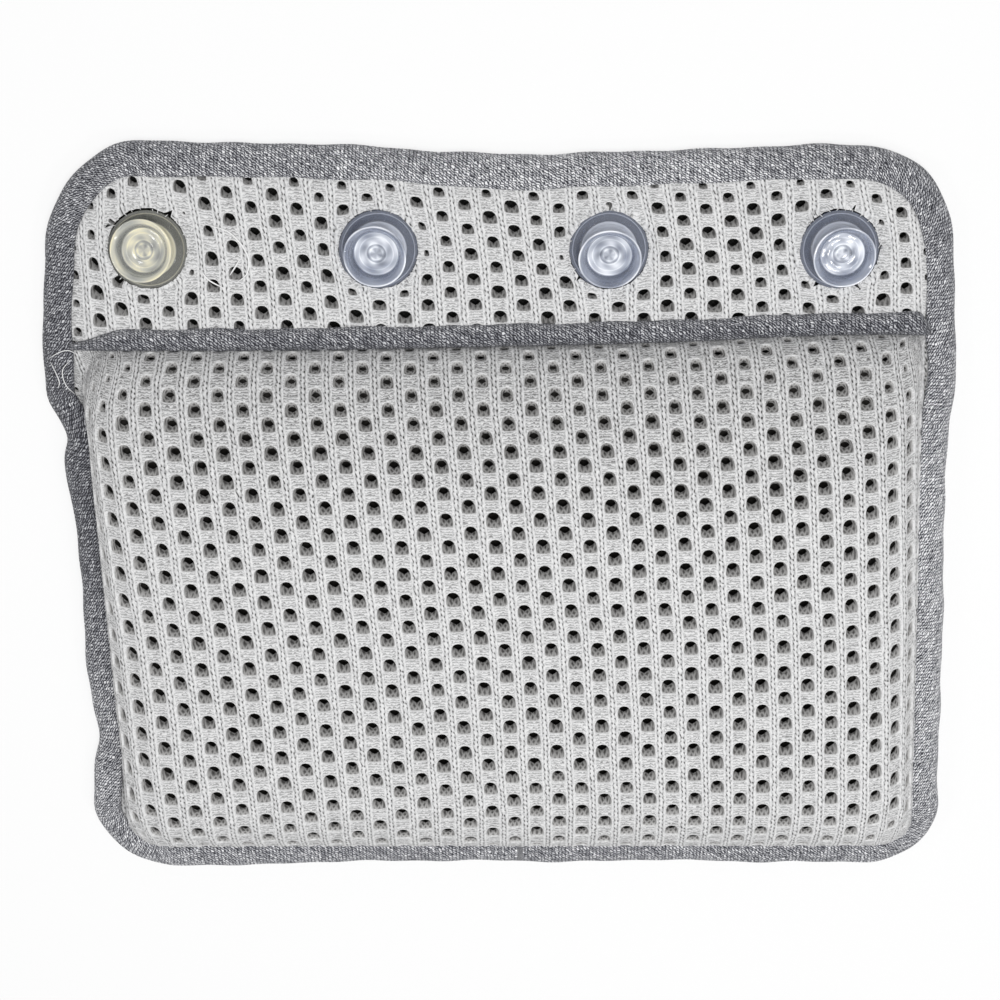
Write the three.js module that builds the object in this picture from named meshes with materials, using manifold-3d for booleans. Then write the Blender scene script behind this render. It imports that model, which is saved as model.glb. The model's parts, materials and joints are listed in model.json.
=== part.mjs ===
// Bath pillow: a padded cushion in open spacer mesh, with a flap that folds along a seam and
// carries a row of suction cups. Knit tape binds every edge.
// Millimetres. X runs along the fold, +Y points to the top of the flap, +Z to the padded front.
// The origin lies under the middle of the pillow, on the plane that it rests on.

import * as THREE from 'three';
import { mergeVertices } from 'three/addons/utils/BufferGeometryUtils.js';
import Module from 'manifold-3d';

// Outline of the bound edge
const flapTopY = 156;
const foldY = 86;
const cushionBottomY = -156;
const foldHalfWidth = 185;
const flapTopHalfWidth = 179;
const flapCornerRadius = 34;
const flapTopDip = 4;
const cushionFoldStep = 0.5;
const cushionBottomHalfWidth = 184;
const cushionSideDraw = 3.5;
const cushionCornerRadius = 30;
const cushionBottomDip = 0.8;

// Layers, counted up from the back
const tapeThickness = 1.1;
const backClothThickness = 0.8;
const spacerThickness = 7;
const layerGap = 0.3;
const foldGap = 0.35;
const forwardLift = THREE.MathUtils.degToRad(12);

// Folded tape over the edges, and the raised tape along the seam
const tapeWidth = 12.5;
const tapeEdgeRound = 0.8;
const seamTapeWidth = 7.5;
const seamTapeRise = 2.6;

// Crowned cushion
const shoulderHeight = 35.5;
const crownRise = 2.5;
const sideShoulder = 24;
const bottomShoulder = 16;
const foldShoulder = 33;
const shoulderPower = 2.2;
const foldCornerStart = 6;
const foldCornerEnd = 24;
const bottomCornerGrowth = 8;

// Openings of the spacer mesh: windows in staggered columns, narrower at the top
const windowWidth = 5.4;
const windowHeight = 6.2;
const windowTaper = 0.4;
const columnPitch = 9.6;
const windowPitch = 11.1;
const columnLean = THREE.MathUtils.degToRad(5);
const windowMargin = 1;

// On the cushion the filling stretches the mesh, and only every third opening is cut, where the
// cover lies nearly level
const stretchedColumnPitch = 9.46;
const stretchedWindowPitch = 11.27;
const stretchedRowTurn = THREE.MathUtils.degToRad(0.9);
const cushionFieldX = -2.2;
const cushionFieldY = 2.1;
const levelShare = 0.7;

// Suction cups and the clear fittings that hold them in the flap
const cupCount = 4;
const cupPitch = 91.5;
const cupRowY = 117;
const cupRowShift = -2.5;
const cupRadius = 12.5;
const cupLip = 0.8;
const cupDepth = 4.4;
const cupWall = 0.9;
const cupStandOff = 9.1;
const nubRadius = 2.2;
const nubRise = 0.5;
const ringStepRadius = 6.3;
const ringStepDepth = 0.5;
const neckRadius = 3.2;
const neckPlay = 0.8;
const headOverhang = 0.9;
const headPlay = 1.2;
const sleeveWall = 1.1;
const flangeRadius = 15.75;
const flangeThickness = 1.6;
const flangeBossRise = 0.6;
const flangeBossWidth = 2.5;
const lipDrop = 0.6;
const washerRadius = 13.5;
const washerThickness = 1.5;

// How finely curves are stepped
const sideSteps = 3;
const cornerSteps = 5;
const farEdgeSteps = 6;
const foldCornerSteps = 3;
const roundSteps = 24;

// Levels of the stack
const backEdgeZ = tapeThickness + layerGap;
const backTopZ = backEdgeZ + backClothThickness;
const meshBackZ = backTopZ + layerGap;
const meshFrontZ = meshBackZ + spacerThickness;
const bindingTopZ = meshFrontZ + layerGap + tapeThickness;
const clothInset = tapeThickness + layerGap;
const freeInset = tapeWidth + layerGap;

const flapEdge = {
  openHalfWidth: foldHalfWidth,
  farHalfWidth: flapTopHalfWidth,
  sideDraw: 0,
  farY: flapTopY,
  farDip: flapTopDip,
  cornerRadius: flapCornerRadius,
};
const cushionEdge = {
  openHalfWidth: foldHalfWidth - cushionFoldStep,
  farHalfWidth: cushionBottomHalfWidth,
  sideDraw: cushionSideDraw,
  farY: cushionBottomY,
  farDip: cushionBottomDip,
  cornerRadius: cushionCornerRadius,
};

const wasm = await Module();
wasm.setup();

// Half the width of a panel at height y, before any inset. The sides draw in between the corners.
function halfWidthAt(edge, y) {
  const along = THREE.MathUtils.clamp((y - foldY) / (edge.farY - foldY), 0, 1);
  const straight = THREE.MathUtils.lerp(edge.openHalfWidth, edge.farHalfWidth, along);
  return straight - edge.sideDraw * 4 * along * (1 - along);
}

// The three bound sides as points from the right end of the fold, round the far edge, to the left end.
function boundSides(edge, sideInset, farInset, openY, radius) {
  const outward = Math.sign(edge.farY - foldY);
  const farY = edge.farY - outward * farInset;
  const cornerY = farY - outward * radius;
  const cornerX = halfWidthAt(edge, cornerY) - sideInset - radius;
  const right = [];
  for (let i = 0; i < sideSteps; i++) {
    const y = THREE.MathUtils.lerp(openY, cornerY, i / sideSteps);
    right.push(new THREE.Vector2(halfWidthAt(edge, y) - sideInset, y));
  }
  for (let i = 0; i <= cornerSteps; i++) {
    const turn = (i / cornerSteps) * Math.PI / 2;
    const y = cornerY + outward * radius * Math.sin(turn);
    right.push(new THREE.Vector2(cornerX + radius * Math.cos(turn), y));
  }
  const far = [];
  for (let i = 1; i < farEdgeSteps; i++) {
    const across = 1 - 2 * i / farEdgeSteps;
    const y = farY - outward * edge.farDip * (1 - across * across);
    far.push(new THREE.Vector2(cornerX * across, y));
  }
  const left = right.map((p) => new THREE.Vector2(-p.x, p.y)).reverse();
  return [...right, ...far, ...left];
}

function evenInset(edge, inset, openY) {
  return boundSides(edge, inset, inset, openY, edge.cornerRadius - inset);
}

function atHeight(points, z) {
  return points.map((p) => new THREE.Vector3(p.x, p.y, z));
}

// Builds a closed surface and turns its faces outward.
function closedSurface(points, triangles) {
  let volume = 0;
  for (const [a, b, c] of triangles) {
    volume += points[a].dot(points[b].clone().cross(points[c]));
  }
  const outward = volume > 0 ? triangles : triangles.map(([a, b, c]) => [a, c, b]);
  const geometry = new THREE.BufferGeometry();
  geometry.setFromPoints(points);
  geometry.setIndex(outward.flat());
  return geometry;
}

// Skins a stack of rings with equal counts and closes both ends on a middle point.
function loft(rings) {
  const count = rings[0].length;
  const points = rings.flat();
  const triangles = [];
  for (let level = 0; level + 1 < rings.length; level++) {
    for (let i = 0; i < count; i++) {
      const a = level * count + i;
      const b = level * count + (i + 1) % count;
      triangles.push([a, b, b + count], [a, b + count, a + count]);
    }
  }
  const middle = (ring) => {
    const box = new THREE.Box3().setFromPoints(ring);
    return box.getCenter(new THREE.Vector3());
  };
  const firstMiddle = points.push(middle(rings[0])) - 1;
  const lastMiddle = points.push(middle(rings[rings.length - 1])) - 1;
  const lastRing = (rings.length - 1) * count;
  for (let i = 0; i < count; i++) {
    const next = (i + 1) % count;
    triangles.push([next, i, firstMiddle]);
    triangles.push([lastRing + i, lastRing + next, lastMiddle]);
  }
  return closedSurface(points, triangles);
}

// Skins loops of one section along a path. The flat section gives the end caps.
function sweep(section, loops) {
  const count = section.length;
  const points = loops.flat();
  const triangles = [];
  for (let step = 0; step + 1 < loops.length; step++) {
    for (let i = 0; i < count; i++) {
      const a = step * count + i;
      const b = step * count + (i + 1) % count;
      triangles.push([a, b, b + count], [a, b + count, a + count]);
    }
  }
  const lastLoop = (loops.length - 1) * count;
  const clockwise = THREE.ShapeUtils.isClockWise(section);
  for (const [a, b, c] of THREE.ShapeUtils.triangulateShape(section, [])) {
    const cap = clockwise ? [a, c, b] : [a, b, c];
    triangles.push([cap[0], cap[2], cap[1]]);
    triangles.push(cap.map((i) => lastLoop + i));
  }
  return closedSurface(points, triangles);
}

// Turns a profile of [radius, height] pairs about the Z axis.
function turned(profile) {
  const points = profile.map(([radius, height]) => new THREE.Vector2(radius, height));
  return new THREE.LatheGeometry(points, roundSteps).rotateX(Math.PI / 2);
}

function toSolid(geometry) {
  const bare = geometry.clone();
  bare.deleteAttribute('normal');
  bare.deleteAttribute('uv');
  const merged = mergeVertices(bare);
  const index = merged.index.array;
  const kept = [];
  for (let i = 0; i < index.length; i += 3) {
    const [a, b, c] = [index[i], index[i + 1], index[i + 2]];
    if (a !== b && b !== c && c !== a) kept.push(a, b, c);
  }
  const mesh = new wasm.Mesh({
    numProp: 3,
    vertProperties: new Float32Array(merged.attributes.position.array),
    triVerts: new Uint32Array(kept),
  });
  return new wasm.Manifold(mesh);
}

function fromSolid(solid) {
  const mesh = solid.getMesh();
  const geometry = new THREE.BufferGeometry();
  geometry.setAttribute('position', new THREE.BufferAttribute(mesh.vertProperties, 3));
  geometry.setIndex(new THREE.BufferAttribute(mesh.triVerts, 1));
  return geometry;
}

// Knit tape folded over an edge: a U section round the three bound sides of a panel.
function foldedTape(edge, openAt) {
  const round = tapeEdgeRound;
  const section = [
    [tapeWidth, 0],
    [round, 0],
    [0, round],
    [0, bindingTopZ - round],
    [round, bindingTopZ],
    [tapeWidth, bindingTopZ],
    [tapeWidth, bindingTopZ - tapeThickness],
    [tapeThickness, bindingTopZ - tapeThickness],
    [tapeThickness, tapeThickness],
    [tapeWidth, tapeThickness],
  ];
  const rails = section.map(([inset, z]) => atHeight(evenInset(edge, inset, openAt(z)), z));
  const loops = rails[0].map((_, step) => rails.map((rail) => rail[step]));
  return sweep(section.map(([inset, z]) => new THREE.Vector2(inset, z)), loops);
}

// Back cloth of one panel: thin inside the folded tape, and full down to the resting plane between.
function backCloth(edge, openY) {
  const ring = (inset, z) => atHeight(evenInset(edge, inset, openY), z);
  return loft([
    ring(clothInset, backTopZ),
    ring(clothInset, backEdgeZ),
    ring(freeInset, backEdgeZ),
    ring(freeInset, 0),
  ]);
}

// Flap pieces leave the fold on a bevel, which lets the flap lift forward.
function flapOpenAt(z) {
  return foldY + foldGap + z * Math.tan(forwardLift);
}

// One opening of the mesh, set in place and turned with its column.
function windowOutline(centre) {
  const half = windowWidth / 2;
  const top = windowHeight / 2;
  const corners = [
    [-half, -top],
    [half, -top],
    [half - windowTaper, top],
    [-half + windowTaper, top],
  ];
  return corners.map(([x, y]) => {
    return new THREE.Vector2(x, y).rotateAround(new THREE.Vector2(), columnLean).add(centre);
  });
}

// Whether a point lies inside a closed line of points.
function insideField(field, p) {
  let crossings = 0;
  for (let i = 0; i < field.length; i++) {
    const a = field[i];
    const b = field[(i + 1) % field.length];
    const spans = (a.y > p.y) !== (b.y > p.y);
    if (spans && p.x < a.x + (b.x - a.x) * (p.y - a.y) / (b.y - a.y)) crossings++;
  }
  return crossings % 2 === 1;
}

const neckBore = neckRadius + neckPlay;
const headRadius = neckBore + headOverhang;
const sleeveBore = headRadius + headPlay;
const sleeveRadius = sleeveBore + sleeveWall;
const recessRadius = flangeRadius + layerGap;
const flangeTopZ = meshFrontZ - layerGap;
const flangeUnderZ = flangeTopZ - flangeThickness;
const recessZ = flangeUnderZ - layerGap;
const lipUnderZ = flangeUnderZ - lipDrop;
const bossTopZ = flangeTopZ + flangeBossRise;
const cupPivotZ = (lipUnderZ + bossTopZ) / 2;
const cupPlaces = Array.from({ length: cupCount }, (_, i) => {
  const x = (i - (cupCount - 1) / 2) * cupPitch + cupRowShift;
  return new THREE.Vector2(x, cupRowY);
});

// Windows of the flap, clear of the fold and the cup recesses. Some run on under the folded tape.
function flapWindows(field) {
  const clearOfCups = (p) => {
    return cupPlaces.every((cup) => cup.distanceTo(p) > recessRadius + windowMargin);
  };
  const windows = [];
  const columns = Math.ceil(foldHalfWidth / columnPitch) + 1;
  const rows = Math.ceil((flapTopY - foldY) / windowPitch) + 1;
  for (let column = -columns; column <= columns; column++) {
    const stagger = column % 2 === 0 ? 0 : windowPitch / 2;
    for (let row = -rows; row <= rows; row++) {
      const rise = row * windowPitch + stagger;
      const x = column * columnPitch - rise * Math.tan(columnLean);
      const outline = windowOutline(new THREE.Vector2(x, cupRowY + rise));
      if (outline.every((p) => insideField(field, p) && clearOfCups(p))) windows.push(outline);
    }
  }
  return windows;
}

// Spacer mesh of the flap, with its windows and a stepped bore for each cup fitting.
function flapMeshPanel() {
  const openY = flapOpenAt(meshFrontZ);
  const panel = new THREE.Shape(evenInset(flapEdge, clothInset, openY));
  const field = evenInset(flapEdge, tapeWidth - windowHeight, openY + windowMargin);
  panel.holes = flapWindows(field).map((outline) => new THREE.Path(outline));
  const plate = new THREE.ExtrudeGeometry(panel, { depth: spacerThickness, bevelEnabled: false });
  let solid = toSolid(plate.translate(0, 0, meshBackZ));
  const washerSeatZ = meshBackZ + washerThickness + layerGap;
  const boreRadius = sleeveRadius + layerGap;
  const seatRadius = washerRadius + layerGap;
  const bore = turned([
    [0, meshBackZ - 1],
    [seatRadius, meshBackZ - 1],
    [seatRadius, washerSeatZ],
    [boreRadius, washerSeatZ],
    [boreRadius, recessZ],
    [recessRadius, recessZ],
    [recessRadius, meshFrontZ + 1],
    [0, meshFrontZ + 1],
  ]);
  for (const place of cupPlaces) {
    solid = solid.subtract(toSolid(bore.clone().translate(place.x, place.y, 0)));
  }
  return fromSolid(solid);
}

// Share of the shoulder's rise reached at a share of the way in from its foot.
function shoulderShare(along) {
  return (1 - (1 - along) ** shoulderPower) ** (1 / shoulderPower);
}

// One level line of the cushion, closed along the fold by an edge with rounded corners.
function cushionRing(sideInset, bottomInset, foldInset, bottomRadius, foldRadius, z) {
  const foldEdgeY = foldY - foldInset;
  const cornerY = foldEdgeY - foldRadius;
  const bound = boundSides(cushionEdge, sideInset, bottomInset, cornerY, bottomRadius);
  const cornerX = halfWidthAt(cushionEdge, cornerY) - sideInset - foldRadius;
  const leftCorner = [];
  for (let i = 1; i <= foldCornerSteps; i++) {
    const turn = (i / foldCornerSteps) * Math.PI / 2;
    const x = -cornerX - foldRadius * Math.cos(turn);
    leftCorner.push(new THREE.Vector2(x, cornerY + foldRadius * Math.sin(turn)));
  }
  const edge = [];
  for (let i = 1; i < farEdgeSteps; i++) {
    edge.push(new THREE.Vector2(cornerX * (2 * i / farEdgeSteps - 1), foldEdgeY));
  }
  const rightCorner = leftCorner.map((p) => new THREE.Vector2(-p.x, p.y)).reverse();
  return atHeight([...bound, ...leftCorner, ...edge, ...rightCorner], z);
}

const shoulderFootRadius = cushionCornerRadius - freeInset;
const seamInset = foldGap + seamTapeWidth + layerGap;

// A ring on the shoulder, which may lie inside the outer skin by the skin's thickness.
function shoulderRing(along, skin, footZ, topZ) {
  const span = (shoulder) => Math.max(shoulder - skin, layerGap) * along + skin;
  const z = THREE.MathUtils.lerp(footZ, topZ, shoulderShare(along));
  return cushionRing(
    freeInset + span(sideShoulder),
    freeInset + span(bottomShoulder),
    seamInset + span(foldShoulder),
    shoulderFootRadius + bottomCornerGrowth * along,
    THREE.MathUtils.lerp(foldCornerStart, foldCornerEnd, along),
    z,
  );
}

// Rings of the crown, drawn in from the top of the shoulder to the middle.
function crownRings(shoulderTop) {
  const box = new THREE.Box3().setFromPoints(shoulderTop);
  const middle = box.getCenter(new THREE.Vector3());
  return [0.4, 0.8].map((along) => {
    const rise = crownRise * (1 - (1 - along) ** 2);
    return shoulderTop.map((p) => {
      const q = p.clone().lerp(middle, along);
      q.z += rise;
      return q;
    });
  });
}

// Half of the padded form, from the middle of the crown down to the foot of the shoulder.
function crownedSkin(skin, footZ, topZ) {
  const shares = [1, 0.6, 0.3, 0.13, 0.04, 0];
  const shoulder = shares.map((along) => shoulderRing(along, skin, footZ, topZ));
  return [...crownRings(shoulder[0]).reverse(), ...shoulder];
}

// Windows of the cushion. Taking every third opening of the staggered mesh leaves staggered rows,
// one and a half windows apart, with every second column in each.
function cushionWindows() {
  const field = shoulderRing(levelShare, 0, meshFrontZ, shoulderHeight);
  const placeStep = 2 * stretchedColumnPitch;
  const rowStep = 1.5 * stretchedWindowPitch;
  const places = Math.ceil(foldHalfWidth / placeStep) + 1;
  const rows = Math.ceil((foldY - cushionBottomY) / rowStep) + 1;
  const windows = [];
  for (let row = -rows; row <= rows; row++) {
    const rise = row * rowStep;
    const stagger = row % 2 === 0 ? 0 : placeStep / 2;
    for (let place = -places; place <= places; place++) {
      const along = place * placeStep + stagger;
      const x = cushionFieldX + along - rise * Math.tan(columnLean);
      const y = cushionFieldY + rise + along * Math.tan(stretchedRowTurn);
      const outline = windowOutline(new THREE.Vector2(x, y));
      if (outline.every((p) => insideField(field, p))) windows.push(outline);
    }
  }
  return windows;
}

// Front cover: spacer mesh that is flat inside the tape and swells over the filling.
function cushionCover() {
  const hem = (z) => {
    const radius = cushionCornerRadius - clothInset;
    return cushionRing(clothInset, clothInset, foldGap, radius, layerGap, z);
  };
  const outside = crownedSkin(0, meshFrontZ, shoulderHeight);
  const inside = crownedSkin(spacerThickness, meshBackZ, shoulderHeight - spacerThickness);
  const skin = loft([...outside, hem(meshFrontZ), hem(meshBackZ), ...inside.reverse()]);
  const shapes = cushionWindows().map((outline) => new THREE.Shape(outline));
  const crownTopZ = shoulderHeight + crownRise;
  const cutters = new THREE.ExtrudeGeometry(shapes, { depth: crownTopZ, bevelEnabled: false });
  cutters.translate(0, 0, meshFrontZ);
  return fromSolid(toSolid(skin).subtract(toSolid(cutters)));
}

// Filling: the space under the cover, less a layer gap.
function cushionFilling() {
  const skin = spacerThickness + layerGap;
  return loft(crownedSkin(skin, meshBackZ, shoulderHeight - skin));
}

// Raised tape along the seam, a low dome in section that thins towards its two ends.
function seamTape() {
  const nearY = foldY - foldGap;
  const footZ = meshFrontZ + layerGap;
  const domeSteps = 6;
  const section = [];
  for (let i = 0; i <= domeSteps; i++) {
    const across = i / domeSteps;
    const rise = seamTapeRise * (1 - (2 * across - 1) ** 4);
    section.push(new THREE.Vector2(nearY - seamTapeWidth * across, footZ + tapeThickness / 2 + rise));
  }
  section.push(new THREE.Vector2(nearY - seamTapeWidth, footZ), new THREE.Vector2(nearY, footZ));
  const half = halfWidthAt(cushionEdge, nearY - seamTapeWidth) - freeInset;
  const stations = [-1, -0.97, -0.9, -0.5, 0, 0.5, 0.9, 0.97, 1];
  const loops = stations.map((along) => {
    const fullness = 1 - 0.6 * Math.abs(along) ** 30;
    return section.map((p) => new THREE.Vector3(along * half, p.x, footZ + (p.y - footZ) * fullness));
  });
  return sweep(section, loops);
}

// Suction cup in one soft moulding: dish, neck and the head that the flange traps.
function suctionCup() {
  const rimZ = flangeTopZ + cupStandOff;
  const floorZ = rimZ - cupDepth;
  const dishRadius = cupRadius - cupLip;
  const headRoom = lipUnderZ - backTopZ;
  const headTopZ = lipUnderZ - headRoom * 0.33;
  const headUnderZ = lipUnderZ - headRoom * 0.58;
  const wellZ = floorZ - ringStepDepth;
  const backZ = wellZ - cupWall;
  return turned([
    [0, headUnderZ],
    [headRadius, headUnderZ],
    [headRadius, headTopZ],
    [neckRadius, headTopZ],
    [neckRadius, backZ - cupWall],
    [neckRadius + 2, backZ],
    [cupRadius * 0.7, backZ + ringStepDepth],
    [cupRadius * 0.9, floorZ + cupDepth * 0.35],
    [cupRadius, rimZ],
    [dishRadius, rimZ],
    [dishRadius * 0.91, floorZ + cupDepth * 0.5],
    [dishRadius * 0.76, floorZ],
    [ringStepRadius + ringStepDepth / 2, floorZ],
    [ringStepRadius, wellZ],
    [nubRadius + nubRise / 2, wellZ],
    [nubRadius, wellZ + nubRise],
    [0, wellZ + nubRise],
  ]);
}

// Clear flange: a brim sunk in the mesh, a low boss round the neck and a sleeve behind it.
function cupFlange() {
  return turned([
    [sleeveBore, meshBackZ],
    [sleeveRadius, meshBackZ],
    [sleeveRadius, flangeUnderZ],
    [flangeRadius, flangeUnderZ],
    [flangeRadius, flangeTopZ],
    [neckBore + 2 * flangeBossWidth, flangeTopZ],
    [neckBore + flangeBossWidth, bossTopZ],
    [neckBore, bossTopZ],
    [neckBore, lipUnderZ],
    [sleeveBore, lipUnderZ],
    [sleeveBore, meshBackZ],
  ]);
}

// Ring behind the mesh that keeps the sleeve from pulling out.
function backWasher() {
  const bore = sleeveRadius + layerGap;
  const topZ = meshBackZ + washerThickness;
  return turned([
    [bore, meshBackZ],
    [washerRadius, meshBackZ],
    [washerRadius, topZ],
    [bore, topZ],
    [bore, meshBackZ],
  ]);
}

function finish(colour, roughness, opacity = 1) {
  return new THREE.MeshStandardMaterial({
    color: colour,
    roughness,
    metalness: 0,
    opacity,
    transparent: opacity < 1,
  });
}

const spacerKnit = () => finish(0xc6c6c4, 0.9);
const knitTape = () => finish(0x7f8085, 0.95);
const darkCloth = () => finish(0x2b2c2e, 0.95);
const foam = () => finish(0x3a3b3d, 0.95);
const clearVinyl = () => finish(0xc3cde0, 0.15, 0.6);

const pillow = new THREE.Group();

function place(name, geometry, material, x = 0, y = 0) {
  const mesh = new THREE.Mesh(geometry, material);
  mesh.name = name;
  mesh.position.set(x, y, 0);
  pillow.add(mesh);
}

place('cushion_cover', cushionCover(), spacerKnit());
place('cushion_filling', cushionFilling(), foam());
place('cushion_back', backCloth(cushionEdge, foldY - foldGap), darkCloth());
place('cushion_binding', foldedTape(cushionEdge, () => foldY - foldGap), knitTape());
place('seam_binding', seamTape(), knitTape());
place('flap_mesh', flapMeshPanel(), spacerKnit());
place('flap_back', backCloth(flapEdge, foldY + foldGap), darkCloth());
place('flap_binding', foldedTape(flapEdge, flapOpenAt), knitTape());
cupPlaces.forEach((spot, i) => {
  place(`suction_cup_${i + 1}`, suctionCup(), clearVinyl(), spot.x, spot.y);
  place(`cup_flange_${i + 1}`, cupFlange(), clearVinyl(), spot.x, spot.y);
  place(`cup_washer_${i + 1}`, backWasher(), clearVinyl(), spot.x, spot.y);
});

export default pillow;
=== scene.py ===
# %% [markdown]
# # A bath pillow in open spacer mesh
# The pillow is a padded cushion with a flap along its top edge. The flap carries four clear
# suction cups and folds back along a seam, so that the cups meet the wall of a bath. This lesson
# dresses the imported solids: the frame gives places and sizes, and each cell below makes one piece.
# All lengths in the cells are millimetres, and one function turns them into metres.

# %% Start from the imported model
import json
import math
import bpy
import bmesh
import numpy as np
from mathutils import Matrix, Vector


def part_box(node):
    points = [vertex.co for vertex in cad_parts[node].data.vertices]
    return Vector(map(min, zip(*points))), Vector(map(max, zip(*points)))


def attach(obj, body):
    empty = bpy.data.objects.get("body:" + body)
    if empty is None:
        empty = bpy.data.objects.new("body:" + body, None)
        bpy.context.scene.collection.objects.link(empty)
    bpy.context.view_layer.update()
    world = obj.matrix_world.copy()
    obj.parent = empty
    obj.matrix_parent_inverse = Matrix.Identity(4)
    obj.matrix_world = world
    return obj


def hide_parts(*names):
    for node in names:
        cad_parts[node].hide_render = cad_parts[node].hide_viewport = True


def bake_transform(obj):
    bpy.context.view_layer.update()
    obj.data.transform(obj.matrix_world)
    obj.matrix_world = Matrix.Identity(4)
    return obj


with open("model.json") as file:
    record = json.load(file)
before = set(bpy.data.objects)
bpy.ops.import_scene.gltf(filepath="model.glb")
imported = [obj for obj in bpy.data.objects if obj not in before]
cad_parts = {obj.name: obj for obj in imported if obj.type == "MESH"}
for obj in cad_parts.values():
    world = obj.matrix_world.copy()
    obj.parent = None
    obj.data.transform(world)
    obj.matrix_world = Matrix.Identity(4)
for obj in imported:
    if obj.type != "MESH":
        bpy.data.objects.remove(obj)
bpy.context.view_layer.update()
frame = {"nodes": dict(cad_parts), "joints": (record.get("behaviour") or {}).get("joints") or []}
MM = 0.001


def node_box(node):
    low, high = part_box(node)
    return np.array(low) / MM, np.array(high) / MM


joint_at = {joint["name"]: np.array(joint["pos_m"]) / MM for joint in frame["joints"]}
FOLD_Y = joint_at["flap_fold"][1]
CUP_COUNT = 4
CUP_PLACES = [joint_at[f"cup_{number}_tilt"] for number in range(1, CUP_COUNT + 1)]
TOP_Y = node_box("flap_binding")[1][1]
BOTTOM_Y = node_box("cushion_binding")[0][1]
BACK_Z, MESH_Z = node_box("flap_mesh")[0][2], node_box("flap_mesh")[1][2]
CROWN_Z = node_box("cushion_cover")[1][2]
print("fold at", FOLD_Y, "mesh between", BACK_Z, "and", MESH_Z, "crown at", CROWN_Z)

# %% [markdown]
# ## Small tools
# A mesh can be made with modelling operators or straight from lists of points and faces. Lists suit
# a knit, because the same cell repeats hundreds of times and arrays move all of them at once. A point
# attribute travels with the mesh, so a material can read where on the fabric it is.

# %% Tools for meshes
rng = np.random.default_rng(7)


def make_piece(name, points, faces, material, patterns=None):
    """A mesh object from points in millimetres. Patterns are point vectors that a material reads."""
    mesh = bpy.data.meshes.new(name)
    mesh.from_pydata((np.asarray(points, float) * MM).tolist(), [], np.asarray(faces).tolist())
    for label, vectors in (patterns or {}).items():
        layer = mesh.attributes.new(label, "FLOAT_VECTOR", "POINT")
        layer.data.foreach_set("vector", np.asarray(vectors, np.float32).ravel())
    mesh.polygons.foreach_set("use_smooth", np.ones(len(mesh.polygons), bool))
    mesh.materials.append(material)
    mesh.update()
    piece = bpy.data.objects.new(name, mesh)
    bpy.context.scene.collection.objects.link(piece)
    print(name, len(mesh.vertices), "points", len(mesh.polygons), "faces")
    return piece


def open_edges(shape):
    return [edge for edge in shape.edges if edge.is_boundary]


def reshape(piece, change):
    """Lets a function change a piece's mesh, and then turns all its faces outward."""
    shape = bmesh.new()
    shape.from_mesh(piece.data)
    change(shape)
    bmesh.ops.recalc_face_normals(shape, faces=shape.faces)
    shape.to_mesh(piece.data)
    shape.free()


def strip_faces(rows, columns, close_rows=False, close_columns=False):
    """Quads over a grid of points that is numbered row by row."""
    row = np.arange(rows if close_rows else rows - 1)
    column = np.arange(columns if close_columns else columns - 1)
    r, c = [part.ravel() for part in np.meshgrid(row, column, indexing="ij")]
    r_next, c_next = (r + 1) % rows, (c + 1) % columns
    corners = [r * columns + c, r * columns + c_next, r_next * columns + c_next, r_next * columns + c]
    return np.stack(corners, 1)


def keep_faces(faces, allowed):
    """The points that faces with only allowed corners use, and those faces with new numbers."""
    faces = faces[allowed[faces].all(1)]
    used, numbers = np.unique(faces, return_inverse=True)
    return used, numbers.reshape(faces.shape)


def through(knots, at):
    """A smooth curve through listed (place, value) pairs, read at the places given."""
    place, value = np.array(knots, float).T
    slope = np.gradient(value, place)
    i = np.clip(np.searchsorted(place, at) - 1, 0, len(place) - 2)
    width = place[i + 1] - place[i]
    t = np.clip((at - place[i]) / width, 0, 1)
    start = value[i] * (2 * t ** 3 - 3 * t ** 2 + 1) + width * slope[i] * (t ** 3 - 2 * t ** 2 + t)
    return start + value[i + 1] * (3 * t ** 2 - 2 * t ** 3) + width * slope[i + 1] * (t ** 3 - t ** 2)


def smooth_step(low, high, at):
    """Eases from 0 at the low place to 1 at the high one."""
    t = np.clip((at - low) / (high - low), 0, 1)
    return t * t * (3 - 2 * t)


def sway(at, lengths, seed):
    """A wandering line between about -1 and 1 whose waves have the given lengths."""
    phases = np.random.default_rng(seed).uniform(0, 2 * math.pi, len(lengths))
    waves = [np.sin(2 * math.pi * at / length + phase) for length, phase in zip(lengths, phases)]
    return sum(waves) / math.sqrt(len(lengths))


# %% [markdown]
# ## Tools for materials
# Colours are easiest to pick as sRGB hex values, and Blender's sockets want linear light, so one
# function converts them. One more adds a shader node with its settings and links, which keeps each
# material readable from top to bottom.

# %% Tools for materials
def linear(hex_colour):
    channels = [int(hex_colour[i:i + 2], 16) / 255 for i in (0, 2, 4)]
    return [c / 12.92 if c <= 0.04045 else ((c + 0.055) / 1.055) ** 2.4 for c in channels] + [1.0]


def set_inputs(tree, node, inputs):
    """Gives each input a value, or a link from an output or from the first output of a node."""
    for name, value in inputs.items():
        if isinstance(value, bpy.types.Node):
            value = value.outputs[0]
        if isinstance(value, bpy.types.NodeSocket):
            tree.links.new(value, node.inputs[name])
        else:
            node.inputs[name].default_value = value


def add_node(tree, kind, inputs=None, **settings):
    node = tree.nodes.new("ShaderNode" + kind)
    for name, value in settings.items():
        setattr(node, name, value)
    set_inputs(tree, node, inputs or {})
    return node


def new_material(name):
    material = bpy.data.materials.new(name)
    material.use_nodes = True
    tree = material.node_tree
    return material, tree, tree.nodes["Principled BSDF"]


# %% [markdown]
# ## Camera
# The pillow lies on its back and the camera stands over its top edge, 18 degrees from straight
# above. A longer lens from 0.87 m gives the mild perspective of the photograph.

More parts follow.
